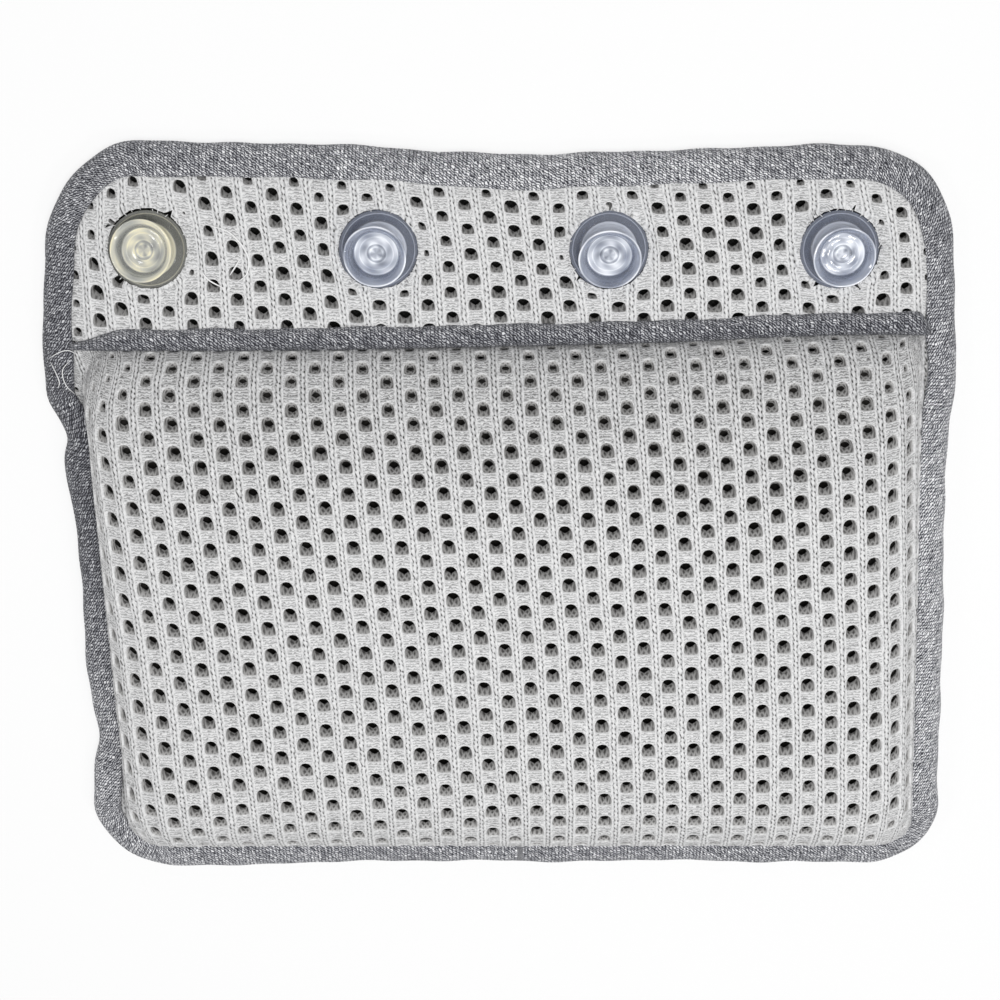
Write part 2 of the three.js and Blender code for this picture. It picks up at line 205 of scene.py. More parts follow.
# %% Camera
VIEW_LEAN = math.radians(18)
VIEW_DISTANCE = 867.0
VIEW_TARGET_Y = 9.6
LENS, SENSOR_WIDTH = 74.9, 36.0
camera_data = bpy.data.cameras.new("camera")
camera_data.lens = LENS
camera_data.sensor_width = SENSOR_WIDTH
camera = bpy.data.objects.new("camera", camera_data)
reach = VIEW_DISTANCE * np.array([0, math.sin(VIEW_LEAN), math.cos(VIEW_LEAN)])
camera.location = (np.array([0, VIEW_TARGET_Y, 0]) + reach) * MM
camera.rotation_euler = (-VIEW_LEAN, 0, 0)
bpy.context.scene.collection.objects.link(camera)
bpy.context.scene.camera = camera
print("camera at", list(camera.location))

# %% [markdown]
# ## How the pillow lies
# The pattern is a plain rounded rectangle, but a sewn pillow never lies true: the cushion leans to
# the right below the fold, the tape bulges beside the fold and the top edge dips between the cups.
# Every piece is first made on the pattern, and then one function lays it as the photograph shows.

# %% Pattern outline and the way it lies
HALF_WIDTH = 182.0
FLAP_CORNER = 42.0
CUSHION_CORNER = 30.5
SKEW = 0.041
SKEW_START_Y = 84.0
# Each pair is a place along that side, and how far the edge is drawn out of true there.
LEFT_RIPPLE = [(-160, -3), (-124, -3), (-110, -1.3), (-95, 2), (-80, 0.6), (-40, 1.2), (-12, 2), (8, 1.6),
               (21, 0.2), (30, 0.9), (38, 2.7), (46, 0), (54, -3.6), (66, -4.3), (79, -3), (95, -1.5),
               (117, 0.4), (140, 1), (160, 0.6)]
RIGHT_RIPPLE = [(-160, 0.3), (-75, -0.4), (-40, 0.2), (8, -0.8), (30, 0), (45, 0.8), (68, 2.7), (89, 1.2),
                (112, -0.3), (160, 0)]
TOP_RIPPLE = [(-182, 3.2), (-142, 3.2), (-100, 2.4), (-56, 1.2), (-23, -0.8), (16, -2.3), (41, -1.1),
              (97, 0.4), (123, 2), (149, 1.6), (166, 3), (182, 3)]
BOTTOM_RIPPLE = [(-182, -1.9), (-150, -1.7), (-110, -0.6), (-75, 0.4), (-30, 1.1), (10, 0.5), (60, 1.1),
                 (110, 0.4), (150, 0.3), (182, 2.2)]
SIDE_RIPPLE_REACH = 14.0
CUSHION_RIPPLE_REACH = 6.0
TOP_RIPPLE_REACH = 20.0
BOTTOM_RIPPLE_REACH = 12.0
CORNER_POINTS = 33
TAPE_STEP = 2.5


def lie(x, y, side_reach=SIDE_RIPPLE_REACH):
    """Pattern places to the places where the sewn pillow lies."""
    left = through(LEFT_RIPPLE, y) * np.exp(-np.clip(x + HALF_WIDTH, 0, None) / side_reach)
    right = through(RIGHT_RIPPLE, y) * np.exp(-np.clip(HALF_WIDTH - x, 0, None) / side_reach)
    top = through(TOP_RIPPLE, x) * np.exp(-np.clip(TOP_Y - y, 0, None) / TOP_RIPPLE_REACH)
    bottom = through(BOTTOM_RIPPLE, x) * np.exp(-np.clip(y - BOTTOM_Y, 0, None) / BOTTOM_RIPPLE_REACH)
    return x + SKEW * np.clip(SKEW_START_Y - y, 0, None) + left + right, y + top + bottom


def edge_inset(x, y):
    """How far a pattern place lies inside the bound edge."""
    radius = np.where(y > 0, FLAP_CORNER, CUSHION_CORNER)
    over_x = np.abs(x) - (HALF_WIDTH - radius)
    over_y = np.where(y > 0, y - TOP_Y, BOTTOM_Y - y) + radius
    outside = np.hypot(np.clip(over_x, 0, None), np.clip(over_y, 0, None))
    return radius - outside - np.minimum(np.maximum(over_x, over_y), 0)


def edge_loop(spacing):
    """Pattern points round the bound edge, anticlockwise from the middle of the bottom."""
    points = [(0.0, BOTTOM_Y)]
    for across, up, turn in ((1, -1, -90), (1, 1, 0), (-1, 1, 90), (-1, -1, 180)):
        radius = FLAP_CORNER if up > 0 else CUSHION_CORNER
        middle_x = across * (HALF_WIDTH - radius)
        middle_y = TOP_Y - radius if up > 0 else BOTTOM_Y + radius
        for angle in np.radians(np.linspace(turn, turn + 90, CORNER_POINTS)):
            points.append((middle_x + radius * math.cos(angle), middle_y + radius * math.sin(angle)))
    points = np.array(points + points[:1])
    travelled = np.append(0, np.cumsum(np.linalg.norm(np.diff(points, axis=0), axis=1)))
    stations = np.linspace(0, travelled[-1], int(travelled[-1] / spacing), endpoint=False)
    return np.stack([np.interp(stations, travelled, points[:, i]) for i in (0, 1)], 1), stations


print("edge is", round(edge_loop(TAPE_STEP)[1][-1]), "mm round")

# %% [markdown]
# ## Spacer knit
# The mesh is a warp-knitted polyester spacer fabric: two knitted faces held apart by upright yarns.
# On the face, pairs of chain stitches run down the ribs with a row of small dark gaps between them,
# and straight ladder yarns cross the bridges between the holes. Stitches are 2.2 mm long and ladder
# yarns 1.1 mm apart. Each mesh point carries its distance from the rib, its place along the rib and
# its depth in a hole, so the stitches follow the fabric round the padding. One function draws each
# set of yarns, and the material then joins them.

# %% Yarns on the face of the knit
STITCH = 2.2
CHAIN_PITCH = 1.6
LINK_SWING = 0.16
STITCH_STRAY = 7.0
CHAIN_STRAY = 0.28
LADDER = 1.12
LADDER_STRAY = 2.4 * LADDER
DRIFT_SIZE = 2.6
FLUFF = 0.22
GAP_DEPTH = 0.75


def rib_stitches(tree, where, across, along, lint):
    """Height of the chains of stitches on a rib, and the small gaps between its two chains."""
    drift = add_node(tree, "TexNoise", {"Vector": where, "Scale": 1 / (DRIFT_SIZE * MM), "Detail": 2.0})
    drift = drift.outputs["Fac"]
    turn = add_node(tree, "Math", {0: along, 1: 2 * math.pi / STITCH}, operation="MULTIPLY")
    spot = add_node(tree, "SeparateXYZ", {0: where})
    pace = math.pi / (CHAIN_PITCH * MM)
    half_step = add_node(tree, "Math", {0: spot.outputs["X"], 1: pace, 2: turn}, operation="MULTIPLY_ADD")
    uneven = add_node(tree, "Math", {0: drift, 1: STITCH_STRAY, 2: half_step}, operation="MULTIPLY_ADD")
    stitch = add_node(tree, "Math", {0: uneven}, operation="SINE")
    link = add_node(tree, "Math", {0: stitch, 1: LINK_SWING, 2: across}, operation="MULTIPLY_ADD")
    stray = add_node(tree, "MapRange", {0: drift, 1: 0.3, 2: 0.7, 3: -CHAIN_STRAY, 4: CHAIN_STRAY})
    strayed = add_node(tree, "Math", {0: link, 1: stray}, operation="ADD")
    rib_turn = add_node(tree, "Math", {0: strayed, 1: 2 * math.pi / CHAIN_PITCH}, operation="MULTIPLY")
    rib_wave = add_node(tree, "Math", {0: rib_turn}, operation="COSINE")
    rib = add_node(tree, "MapRange", {0: rib_wave, 1: -1.0, 2: 1.0, 3: 0.55, 4: 0.95})
    valley = add_node(tree, "MapRange", {0: rib_wave, 1: -0.3, 2: -0.95})
    on_rib = add_node(tree, "MapRange", {0: across, 1: 1.3, 2: 1.6, 3: 1.0, 4: 0.0})
    in_valley = add_node(tree, "Math", {0: valley, 1: on_rib}, operation="MULTIPLY")
    stitch_gap = add_node(tree, "MapRange", {0: stitch, 1: 0.1, 2: 0.8}, interpolation_type="SMOOTHSTEP")
    gap = add_node(tree, "Math", {0: stitch_gap, 1: in_valley}, operation="MULTIPLY")
    slack = add_node(tree, "MapRange", {0: lint, 1: 0.3, 2: 0.65, 3: 0.3, 4: 1.0})
    return rib, add_node(tree, "Math", {0: gap, 1: slack}, operation="MULTIPLY")


def face_yarns(tree, where, across, along, lint):
    """Height of the knitted face: stitches on the ribs, ladder yarns on the bridges, and fluff on both."""
    rib, gaps = rib_stitches(tree, where, across, along, lint)
    place = add_node(tree, "Math", {0: lint, 1: LADDER_STRAY, 2: along}, operation="MULTIPLY_ADD")
    turn = add_node(tree, "Math", {0: place, 1: 2 * math.pi / LADDER}, operation="MULTIPLY")
    wave = add_node(tree, "Math", {0: turn}, operation="SINE")
    ladder = add_node(tree, "MapRange", {0: wave, 1: -1.0, 2: 1.0, 3: 0.42, 4: 0.95})
    on_bridge = add_node(tree, "MapRange", {0: across, 1: 1.7, 2: 2.3}, interpolation_type="SMOOTHSTEP")
    both = add_node(tree, "Mix", {"Factor": on_bridge, 2: rib, 3: ladder})
    fluff = add_node(tree, "MapRange", {0: lint, 1: 0.25, 2: 0.75, 3: -FLUFF, 4: FLUFF})
    fluffy = add_node(tree, "Math", {0: both, 1: fluff}, operation="ADD")
    return add_node(tree, "Math", {0: gaps, 1: -GAP_DEPTH, 2: fluffy}, operation="MULTIPLY_ADD")


print("stitches every", STITCH, "mm, ladder yarns every", LADDER, "mm")

# %% Yarns in the walls of the holes
WALL_YARN = 2.0
PATCH_SIZE = 12
# Each pair is the lean of a set of yarns, and how far it swings between patches.
YARN_LEANS = (1.1, 5.0), (-1.1, -4.0)


def wall_yarns(tree, where, across, depth, lint):
    """Height of the upright yarns, which lean both ways and cross, and swing from patch to patch."""
    patch = add_node(tree, "TexNoise", {"Vector": where, "Scale": 1 / (PATCH_SIZE * MM)}).outputs["Fac"]
    waves = []
    for lean, swing in YARN_LEANS:
        slant = add_node(tree, "Math", {0: depth, 1: lean, 2: across}, operation="MULTIPLY_ADD")
        start = add_node(tree, "Math", {0: patch, 1: swing, 2: slant}, operation="MULTIPLY_ADD")
        uneven = add_node(tree, "Math", {0: lint, 1: start}, operation="ADD")
        turn = add_node(tree, "Math", {0: uneven, 1: 2 * math.pi / WALL_YARN}, operation="MULTIPLY")
        waves.append(add_node(tree, "Math", {0: turn}, operation="SINE"))
    crossing = add_node(tree, "Math", {0: waves[0], 1: waves[1]}, operation="MAXIMUM")
    return add_node(tree, "MapRange", {0: crossing, 1: -1.0, 2: 1.0, 3: 0.26, 4: 0.86})


print("wall yarns every", WALL_YARN, "mm")

# %% Material: polyester spacer knit
LINT_SIZE = 1.4
YARN_RELIEF = 0.4


def spacer_knit():
    """Matt pale polyester yarn with dark gaps, painted shade in the holes and a painted lip highlight."""
    material, tree, shader = new_material("polyester_spacer_knit")
    place = add_node(tree, "Attribute", attribute_name="knit")
    axes = add_node(tree, "SeparateXYZ", {0: place.outputs["Vector"]})
    across, along, depth = axes.outputs
    where = add_node(tree, "TexCoord").outputs["Object"]
    lint = add_node(tree, "TexNoise", {"Vector": where, "Scale": 1 / (LINT_SIZE * MM), "Detail": 2.0})
    lint = lint.outputs["Fac"]

    relief = face_yarns(tree, where, across, along, lint)
    # The drawn pattern darkens the face of the knit on the cushion's slopes: painted shade.
    drawn = add_node(tree, "Attribute", attribute_name="drawn")
    relief_with_painted_shade = add_node(tree, "Math", {0: relief, 1: drawn.outputs["Fac"]}, operation="SUBTRACT")
    face_colour = add_node(tree, "ValToRGB", {0: relief_with_painted_shade})
    ramp = face_colour.color_ramp.elements
    ramp[0].color, ramp[1].color = linear("3a3938"), linear("e9e9e9")
    ramp.new(0.35).color = linear("9b9b9b")
    ramp.new(0.65).color = linear("cbcbcc")

    wall_relief = wall_yarns(tree, where, across, depth, lint)
    # Painted shade: the walls are drawn darker towards the throat, for the shade inside a hole.
    painted_depth_shade = add_node(tree, "MapRange", {0: depth, 1: 1.2, 2: 2.8, 3: 0.08, 4: -0.5})
    shaded = add_node(tree, "Math", {0: wall_relief, 1: painted_depth_shade}, operation="ADD")
    wall_colour = add_node(tree, "ValToRGB", {0: shaded})
    wall_ramp = wall_colour.color_ramp.elements
    wall_ramp[0].color, wall_ramp[1].color = linear("3c3b3a"), linear("c6c5c4")
    wall_ramp.new(0.4).color = linear("787776")

    in_wall = add_node(tree, "MapRange", {0: depth, 1: 0.2, 2: 1.2}, interpolation_type="SMOOTHSTEP")
    colour = add_node(tree, "Mix", {"Factor": in_wall, 6: face_colour, 7: wall_colour}, data_type="RGBA")
    # Painted highlight: the face just short of each mouth is mixed towards near white, for the light on the
    # lip.
    painted_highlight_near_mouth = add_node(tree, "MapRange", {0: depth, 1: -0.7, 2: -0.1, 3: 0.0, 4: 0.5},
                          interpolation_type="SMOOTHSTEP")
    above_wall = add_node(tree, "Math", {0: 1.0, 1: in_wall}, operation="SUBTRACT")
    lip = add_node(tree, "Math", {0: painted_highlight_near_mouth, 1: above_wall}, operation="MULTIPLY")
    lit_colour = add_node(tree, "Mix", {"Factor": lip, 6: colour.outputs[2], 7: linear("f6f6f6")},
                          data_type="RGBA")
    height = add_node(tree, "Mix", {"Factor": in_wall, 2: relief, 3: wall_relief})
    bump = add_node(tree, "Bump", {"Height": height, "Strength": 0.6, "Distance": YARN_RELIEF * MM})
    set_inputs(tree, shader, {"Base Color": lit_colour.outputs[2], "Normal": bump, "Roughness": 0.85,
                              "Sheen Weight": 0.15})
    return material


knit_material = spacer_knit()
print("made", knit_material.name)

# %% [markdown]
# ## One cell of the knit, repeated
# A cell is one hole with half a rib on each side and half a bridge above and below. Its edge has
# points where the half-stepped neighbours have theirs, so cells join without gaps. Rings of points
# run from the cell's edge over the lip of the hole and down its wall to the dark throat, which is
# smaller than the mouth because the upright yarns lean.

# %% Outlines of a cell, its hole and its throat
SIDE_STEPS, END_STEPS = 8, 4
RING = 2 * (SIDE_STEPS + END_STEPS)
ARCH_POWER, SILL_POWER = 2.4, 4.5
ARCH_TAPER = 0.1
TAPER_ROUNDS = 6
WALL_SHARE = 0.97
THROAT_SPAN, THROAT_POWER = 0.86, 1.2


def cell_edge(pitch, rise):
    """Points round one cell, anticlockwise from its lower left corner."""
    end, side = np.arange(END_STEPS) / END_STEPS, np.arange(SIDE_STEPS) / SIDE_STEPS
    x = np.concatenate([end - 0.5, np.full(SIDE_STEPS, 0.5), 0.5 - end, np.full(SIDE_STEPS, -0.5)])
    y = np.concatenate([np.full(END_STEPS, -0.5), side - 0.5, np.full(END_STEPS, 0.5), 0.5 - side])
    return np.stack([x * pitch, y * rise], 1)


def hole_edge(edge, width, height):
    """Where the line from the cell's middle to each edge point leaves the arched hole."""
    power = np.where(edge[:, 1] > 0, ARCH_POWER, SILL_POWER)
    reach = np.ones(len(edge))
    for _ in range(TAPER_ROUNDS):
        half_width = width / 2 * (1 - ARCH_TAPER * edge[:, 1] * reach / (height / 2))
        spread = np.abs(edge[:, 0] / half_width) ** power + np.abs(edge[:, 1] / (height / 2)) ** power
        reach = spread ** (-1 / power)
    return edge * reach[:, None]


def throat_edge(mouth, tip, side):
    """The dark opening at the back of a hole: a lens whose lower edge runs from side down to tip."""
    x = mouth[:, 0] * THROAT_SPAN
    low = tip + (side - tip) * (np.abs(x) / mouth[:, 0].max()) ** THROAT_POWER
    return np.stack([x, np.maximum(mouth[:, 1] * WALL_SHARE, low)], 1)


def fabric_place(lattice, local):
    """Places on the pattern of points given along the rows and columns of a lattice."""
    row = np.array([math.cos(lattice["row_turn"]), math.sin(lattice["row_turn"])])
    column = np.array([-math.sin(lattice["column_turn"]), math.cos(lattice["column_turn"])])
    return np.array(lattice["origin"]) + local[..., :1] * row + local[..., 1:] * column


print(RING, "points round a cell")

# %% Rings of a cell
SHUT_PLACE = (0.0, -1.2)
SHUT_SHARE = np.array([0.3, 0.55])
THROAT_LEAN = 0.6
LIP_SHARE = 0.58
RIB_SLOPE, ARCH_SLOPE = (1.3, 2.5), (-1, 2)
EDGE_Z, LIP_Z, MOUTH_Z = -0.35, -0.3, -0.2
RIB_RISE, LIP_RISE = 0.4, 0.75
EDGE_DEPTH, LIP_DEPTH, WALL_DEPTH = -2.2, -1.0, 1.2


def cell_rings(lattice, middle, share, shut):
    """Outline, height over the fabric and depth in the hole of each ring from a cell's edge to its throat."""
    pitch = lattice["pitch"]
    edge = cell_edge(pitch, lattice["rise"])[None]
    hole = hole_edge(edge[0], *lattice["hole"])
    mouth = hole[None] * share
    throat = throat_edge(hole, *lattice["throat"])[None]
    throat = (throat + shut * SHUT_SHARE * (np.array(SHUT_PLACE) - throat)) * share
    leaning = -THROAT_LEAN * fabric_place(lattice, middle)[:, 0] / HALF_WIDTH
    throat = throat + np.stack([leaning, np.zeros(len(middle))], 1)[:, None] * share
    lip = mouth * LIP_SHARE + edge * (1 - LIP_SHARE)
    rib = smooth_step(*RIB_SLOPE, np.abs(mouth[..., 0]))
    arch = smooth_step(*ARCH_SLOPE, mouth[..., 1])
    rib_edge = (np.abs(edge[..., 0]) > pitch / 2 - 0.01).astype(float)
    return [
        (edge, EDGE_Z + RIB_RISE * rib_edge, EDGE_DEPTH),
        (lip, LIP_Z + LIP_RISE * rib, LIP_DEPTH),
        (mouth, MOUTH_Z + RIB_RISE * np.maximum(rib, arch), 0),
        (mouth * WALL_SHARE, np.array(-WALL_DEPTH), WALL_DEPTH),
        (throat, np.array(-lattice["wall"]), lattice["shade"]),
    ]


# %% Cells joined into a fabric
KEYS_PER_MM = 500


def joined_cells(places, cells, rings):
    """Faces of cells that share the points along their edges, and the numbers of the points in use."""
    per_ring = cells * RING
    base = (np.arange(cells) * RING)[:, None]
    k = np.arange(RING)[None]
    k_next = (k + 1) % RING
    faces = []
    for ring in range(rings - 1):
        outer, inner = ring * per_ring + base, (ring + 1) * per_ring + base
        faces.append(np.stack([outer + k, outer + k_next, inner + k_next, inner + k], -1).reshape(-1, 4))
    keys = np.round(places[:per_ring] * KEYS_PER_MM).astype(int)
    first, same = np.unique(keys, axis=0, return_index=True, return_inverse=True)[1:]
    number = np.concatenate([same.ravel(), len(first) + np.arange(len(places) - per_ring)])
    order = np.concatenate([first, np.arange(per_ring, len(places))])
    return number[np.concatenate(faces)], order


def knit_cells(lattice, keep, openness, closing):
    """Fabric places, heights over the fabric, pattern vectors and faces for the cells that keep allows."""
    pitch, rise = lattice["pitch"], lattice["rise"]
    columns, rows = [np.arange(-count, count + 1) for count in lattice["cells"]]
    i, j = [part.ravel() for part in np.meshgrid(columns, rows)]
    middle = np.stack([i * pitch, (j + 0.5 * (i % 2)) * rise], 1)
    middle = middle[keep(fabric_place(lattice, middle))]
    share = openness(fabric_place(lattice, middle))[:, None, None]
    shut = closing(fabric_place(lattice, middle))[:, None, None]
    rings = cell_rings(lattice, middle, share, shut)
    shape = (len(middle), RING)
    places, heights, patterns = [], [], []
    for outline, height, depth in rings:
        local = np.broadcast_to(outline, shape + (2,))
        spot = (middle[:, None] + local).reshape(-1, 2)
        places.append(spot)
        heights.append(np.broadcast_to(height, shape).ravel())
        from_rib = pitch / 2 - np.abs(local[..., 0].ravel())
        patterns.append(np.stack([from_rib, spot[:, 1], np.full(len(spot), depth)], 1))
    places, heights, patterns = [np.concatenate(part) for part in (places, heights, patterns)]
    faces, order = joined_cells(places, len(middle), len(rings))
    print(len(middle), "cells")
    return fabric_place(lattice, places[order]), heights[order], patterns[order], faces


def drop_faces(points, faces, allowed, least_area=0.004):
    """Leaves out faces that a clamp has flattened or that leave the allowed points, and unused points."""
    a, b, c, d = [points[faces[:, n]] for n in range(4)]
    area = np.linalg.norm(np.cross(c - a, d - b), axis=1) / 2
    return keep_faces(faces[area > least_area], allowed)


# %% [markdown]
# ## Shape of the cushion
# The cover is flat under the tape, climbs a rounded shoulder and runs over a low crown. If holes
# were spread evenly in plan, they would stretch on the shoulders, so places on the cover are
# measured along the fabric. Level lines are rounded rectangles: each fabric place knows how far in
# from the hem it lies, and a table of the shoulder's profile turns that into a step in and a height.

# %% Cushion surface
TAPE_WIDTH = 12.8
HEM_Z = MESH_Z - 1.3
PLATEAU_Z = CROWN_Z - 4.2
CROWN_RISE = 2.0
SHOULDER_POWER = 2.05
SIDE_SHOULDER, TOP_SHOULDER, BOTTOM_SHOULDER = 26.0, 48.0, 31.0
LEFT_BULGE, RIGHT_BULGE = 4.0, 1.2
BULGE_REACH = (6, 26)
PROFILE_POINTS, PROFILE_CROWDING = 240, 2.2
FOOT_HALF_WIDTH = HALF_WIDTH - TAPE_WIDTH
FOOT_TOP_Y = FOLD_Y - 8.15
FOOT_BOTTOM_Y = BOTTOM_Y + TAPE_WIDTH
SEAM_RISE = [(-185, -1.1), (-150, -1.1), (-80, -1), (-10, 0.1), (56, 1.8), (148, 5.6), (185, 5)]
SEAM_RISE_REACH = 45.0


def shoulder_profile(width):
    """Fabric length, step in and height along a shoulder. Points crowd at the hem, where it is steep."""
    share = np.linspace(0, 1, PROFILE_POINTS) ** PROFILE_CROWDING
    step = width * share
    height = HEM_Z + (PLATEAU_Z - HEM_Z) * (1 - (1 - share) ** SHOULDER_POWER) ** (1 / SHOULDER_POWER)
    length = np.append(0, np.cumsum(np.hypot(np.diff(step), np.diff(height))))
    return length, step, height


SHOULDERS = [shoulder_profile(width) for width in (SIDE_SHOULDER, TOP_SHOULDER, BOTTOM_SHOULDER)]
SIDE, TOP, BOTTOM = SHOULDERS
SIDE_SPARE, TOP_SPARE, BOTTOM_SPARE = [length[-1] - step[-1] for length, step, height in SHOULDERS]
CLOTH_HALF_WIDTH = FOOT_HALF_WIDTH + SIDE_SPARE
CLOTH_TOP_Y, CLOTH_BOTTOM_Y = FOOT_TOP_Y + TOP_SPARE, FOOT_BOTTOM_Y - BOTTOM_SPARE
CLOTH_MIDDLE_Y = (CLOTH_TOP_Y + CLOTH_BOTTOM_Y) / 2
CLOTH_HALF_HEIGHT = (CLOTH_TOP_Y - CLOTH_BOTTOM_Y) / 2
TOP_LEFT_CORNER, TOP_RIGHT_CORNER, BOTTOM_CORNER = 29.0, 18.0, 22.0
CORNER_GROWTH = -0.1


def seam_rise(x, y):
    """The seam climbs a little to the right, and the cover near it follows."""
    return through(SEAM_RISE, x) * np.exp(-((y - FOOT_TOP_Y) / SEAM_RISE_REACH) ** 2)


def hem_inset(x, y):
    """Distance in from the hem along the fabric, and the outward direction of the level line there."""
    up = y - CLOTH_MIDDLE_Y
    radius = np.where(up > 0, np.where(x < 0, TOP_LEFT_CORNER, TOP_RIGHT_CORNER), BOTTOM_CORNER)
    qx = np.abs(x) - (CLOTH_HALF_WIDTH - radius)
    qy = np.abs(up) - (CLOTH_HALF_HEIGHT - radius)
    # A corner's radius changes with the inset, so the inset there is the root of a quadratic.
    k = 1 + CORNER_GROWTH
    a = 2 * k ** 2 - CORNER_GROWTH ** 2
    b = 2 * (k * (qx + qy) - CORNER_GROWTH * radius)
    c = qx ** 2 + qy ** 2 - radius ** 2
    corner = (-b + np.sqrt(np.maximum(b * b - 4 * a * c, 0))) / (2 * a)
    in_corner = (qx + k * corner > 0) & (qy + k * corner > 0)
    to_side, to_end = CLOTH_HALF_WIDTH - np.abs(x), CLOTH_HALF_HEIGHT - np.abs(up)
    inset = np.where(in_corner, corner, np.minimum(to_side, to_end))
    nx = np.where(in_corner, qx + k * corner, to_side < to_end)
    ny = np.where(in_corner, qy + k * corner, to_side >= to_end)
    size = np.maximum(np.hypot(nx, ny), 1e-9)
    return inset, np.sign(x) * nx / size, np.sign(up) * ny / size


def along_shoulder(profile, inset):
    """Step in and height of a place that far along the fabric from the hem."""
    length, step, height = profile
    beyond = np.clip(inset - length[-1], 0, None) + np.clip(inset, None, 0)
    return np.interp(inset, length, step) + beyond, np.interp(inset, length, height)


def cushion_plan(x, y):
    """Where a place on the cover lies over the pattern, and its height."""
    sewn_y = y - seam_rise(x, y)
    inset, nx, ny = hem_inset(x, sewn_y)
    end_spare = np.where(ny > 0, TOP_SPARE, BOTTOM_SPARE)
    side_step, side_z = along_shoulder(SIDE, inset)
    top_step, top_z = along_shoulder(TOP, inset)
    bottom_step, bottom_z = along_shoulder(BOTTOM, inset)
    end_step, end_z = np.where(ny > 0, top_step, bottom_step), np.where(ny > 0, top_z, bottom_z)
    plan_x = x - nx * (SIDE_SPARE - inset + side_step)
    plan_y = sewn_y - ny * (end_spare - inset + end_step)
    z = nx ** 2 * side_z + ny ** 2 * end_z
    middle_y = (FOOT_TOP_Y + FOOT_BOTTOM_Y) / 2
    bow_x, bow_y = plan_x / FOOT_HALF_WIDTH, (plan_y - middle_y) / (FOOT_TOP_Y - middle_y)
    z = z + CROWN_RISE * np.clip((1 - bow_x ** 2) * (1 - bow_y ** 2), 0, None)
    bulge = np.where(plan_x < 0, -LEFT_BULGE, RIGHT_BULGE) * np.abs(plan_x / FOOT_HALF_WIDTH) ** 3
    return plan_x + bulge * smooth_step(*BULGE_REACH, inset), plan_y + seam_rise(plan_x, plan_y), z


def cushion_surface(x, y):
    """Where the padded cover lies, before the padding is simulated."""
    plan_x, plan_y, z = cushion_plan(x, y)
    laid_x, laid_y = lie(plan_x, plan_y, CUSHION_RIPPLE_REACH)
    return np.stack([laid_x, laid_y, z], -1)


print("cover is cut", round(2 * CLOTH_HALF_WIDTH), "by", round(2 * CLOTH_HALF_HEIGHT), "mm")

# %% [markdown]
# ## Filling out the cover
# Padding presses the cover outward between its seams. A coarse grid of the same fabric is pinned
# at its hem and blown up a little with Blender's cloth, without gravity. The drawn shape is nearly
# full already, so the pressure is low. The fine knit then takes over the movement of the grid, which
# is quicker and steadier than simulating every yarn.

# %% Cloth simulation on a coarse grid
GRID_STEP = 6.0
PIN_WIDTH = 3.0
SWELL_LIMIT = 1.5
SIM_FRAMES = 20
COVER_CLOTH = {
    "vertex_group_mass": "hem",
    "quality": 6,
    "mass": 0.2,
    "tension_stiffness": 30,
    "compression_stiffness": 15,
    "shear_stiffness": 10,
    "bending_stiffness": 2,
    "use_pressure": True,
    "uniform_pressure_force": 0.7,
}
grid_x = np.arange(-CLOTH_HALF_WIDTH, CLOTH_HALF_WIDTH + GRID_STEP, GRID_STEP)
grid_y = np.arange(CLOTH_BOTTOM_Y, CLOTH_TOP_Y + GRID_STEP, GRID_STEP)
GX, GY = [part.ravel() for part in np.meshgrid(grid_x, grid_y)]
grid_faces = strip_faces(len(grid_y), len(grid_x))
flat_rest = cushion_surface(GX, GY)
grid_inset = hem_inset(GX, GY)[0]


def swell_cover():
    """Movement of each grid point under pressure, in millimetres."""
    faces = grid_faces[(grid_inset[grid_faces] > -PIN_WIDTH).all(1)]
    cloth = make_piece("cover_trial", flat_rest, faces, knit_material)
    pinned = cloth.vertex_groups.new(name="hem")
    pinned.add(np.flatnonzero(grid_inset < PIN_WIDTH).tolist(), 1.0, "REPLACE")
    settings = cloth.modifiers.new("swell", "CLOTH").settings
    for name, value in COVER_CLOTH.items():
        setattr(settings, name, value)
    settings.effector_weights.gravity = 0
    scene = bpy.context.scene
    for number in range(1, SIM_FRAMES + 1):
        scene.frame_set(number)
    evaluated = cloth.evaluated_get(bpy.context.evaluated_depsgraph_get())
    moved = np.array([v.co for v in evaluated.data.vertices]) / MM - flat_rest
    scene.frame_set(1)
    bpy.data.objects.remove(cloth)
    size = np.linalg.norm(moved, axis=1, keepdims=True)
    return moved * np.minimum(1, SWELL_LIMIT / np.maximum(size, 1e-6))


swell = swell_cover()
swell[grid_inset < 0] = 0
swell_grid = swell.reshape(len(grid_y), len(grid_x), 3)
print("padding moved the cover by up to", np.linalg.norm(swell, axis=1).max().round(2), "mm")


def padded_surface(x, y):
    """The cover after padding: the drawn shape plus the movement of the grid round each place."""
    u = np.clip((x - grid_x[0]) / GRID_STEP, 0, len(grid_x) - 1.001)
    v = np.clip((y - grid_y[0]) / GRID_STEP, 0, len(grid_y) - 1.001)
    i, j = u.astype(int), v.astype(int)
    s, t = (u - i)[:, None], (v - j)[:, None]
    low = swell_grid[j, i] * (1 - s) + swell_grid[j, i + 1] * s
    high = swell_grid[j + 1, i] * (1 - s) + swell_grid[j + 1, i + 1] * s
    return cushion_surface(x, y) + low * (1 - t) + high * t


def outward(surface, x, y, step=0.8):
    """Direction out of a surface at the places given."""
    across = surface(x + step, y) - surface(x - step, y)
    up = surface(x, y + step) - surface(x, y - step)
    normal = np.cross(across, up)
    return normal / np.maximum(np.linalg.norm(normal, axis=1, keepdims=True), 1e-9)


# %% [markdown]
# ## Cushion cover
# Rows and columns of holes keep the slants that the photograph shows. A slow wander of a fraction
# of a millimetre keeps the knit from looking printed. Walls get shorter under the tape, where
# sewing squeezes the fabric flat.

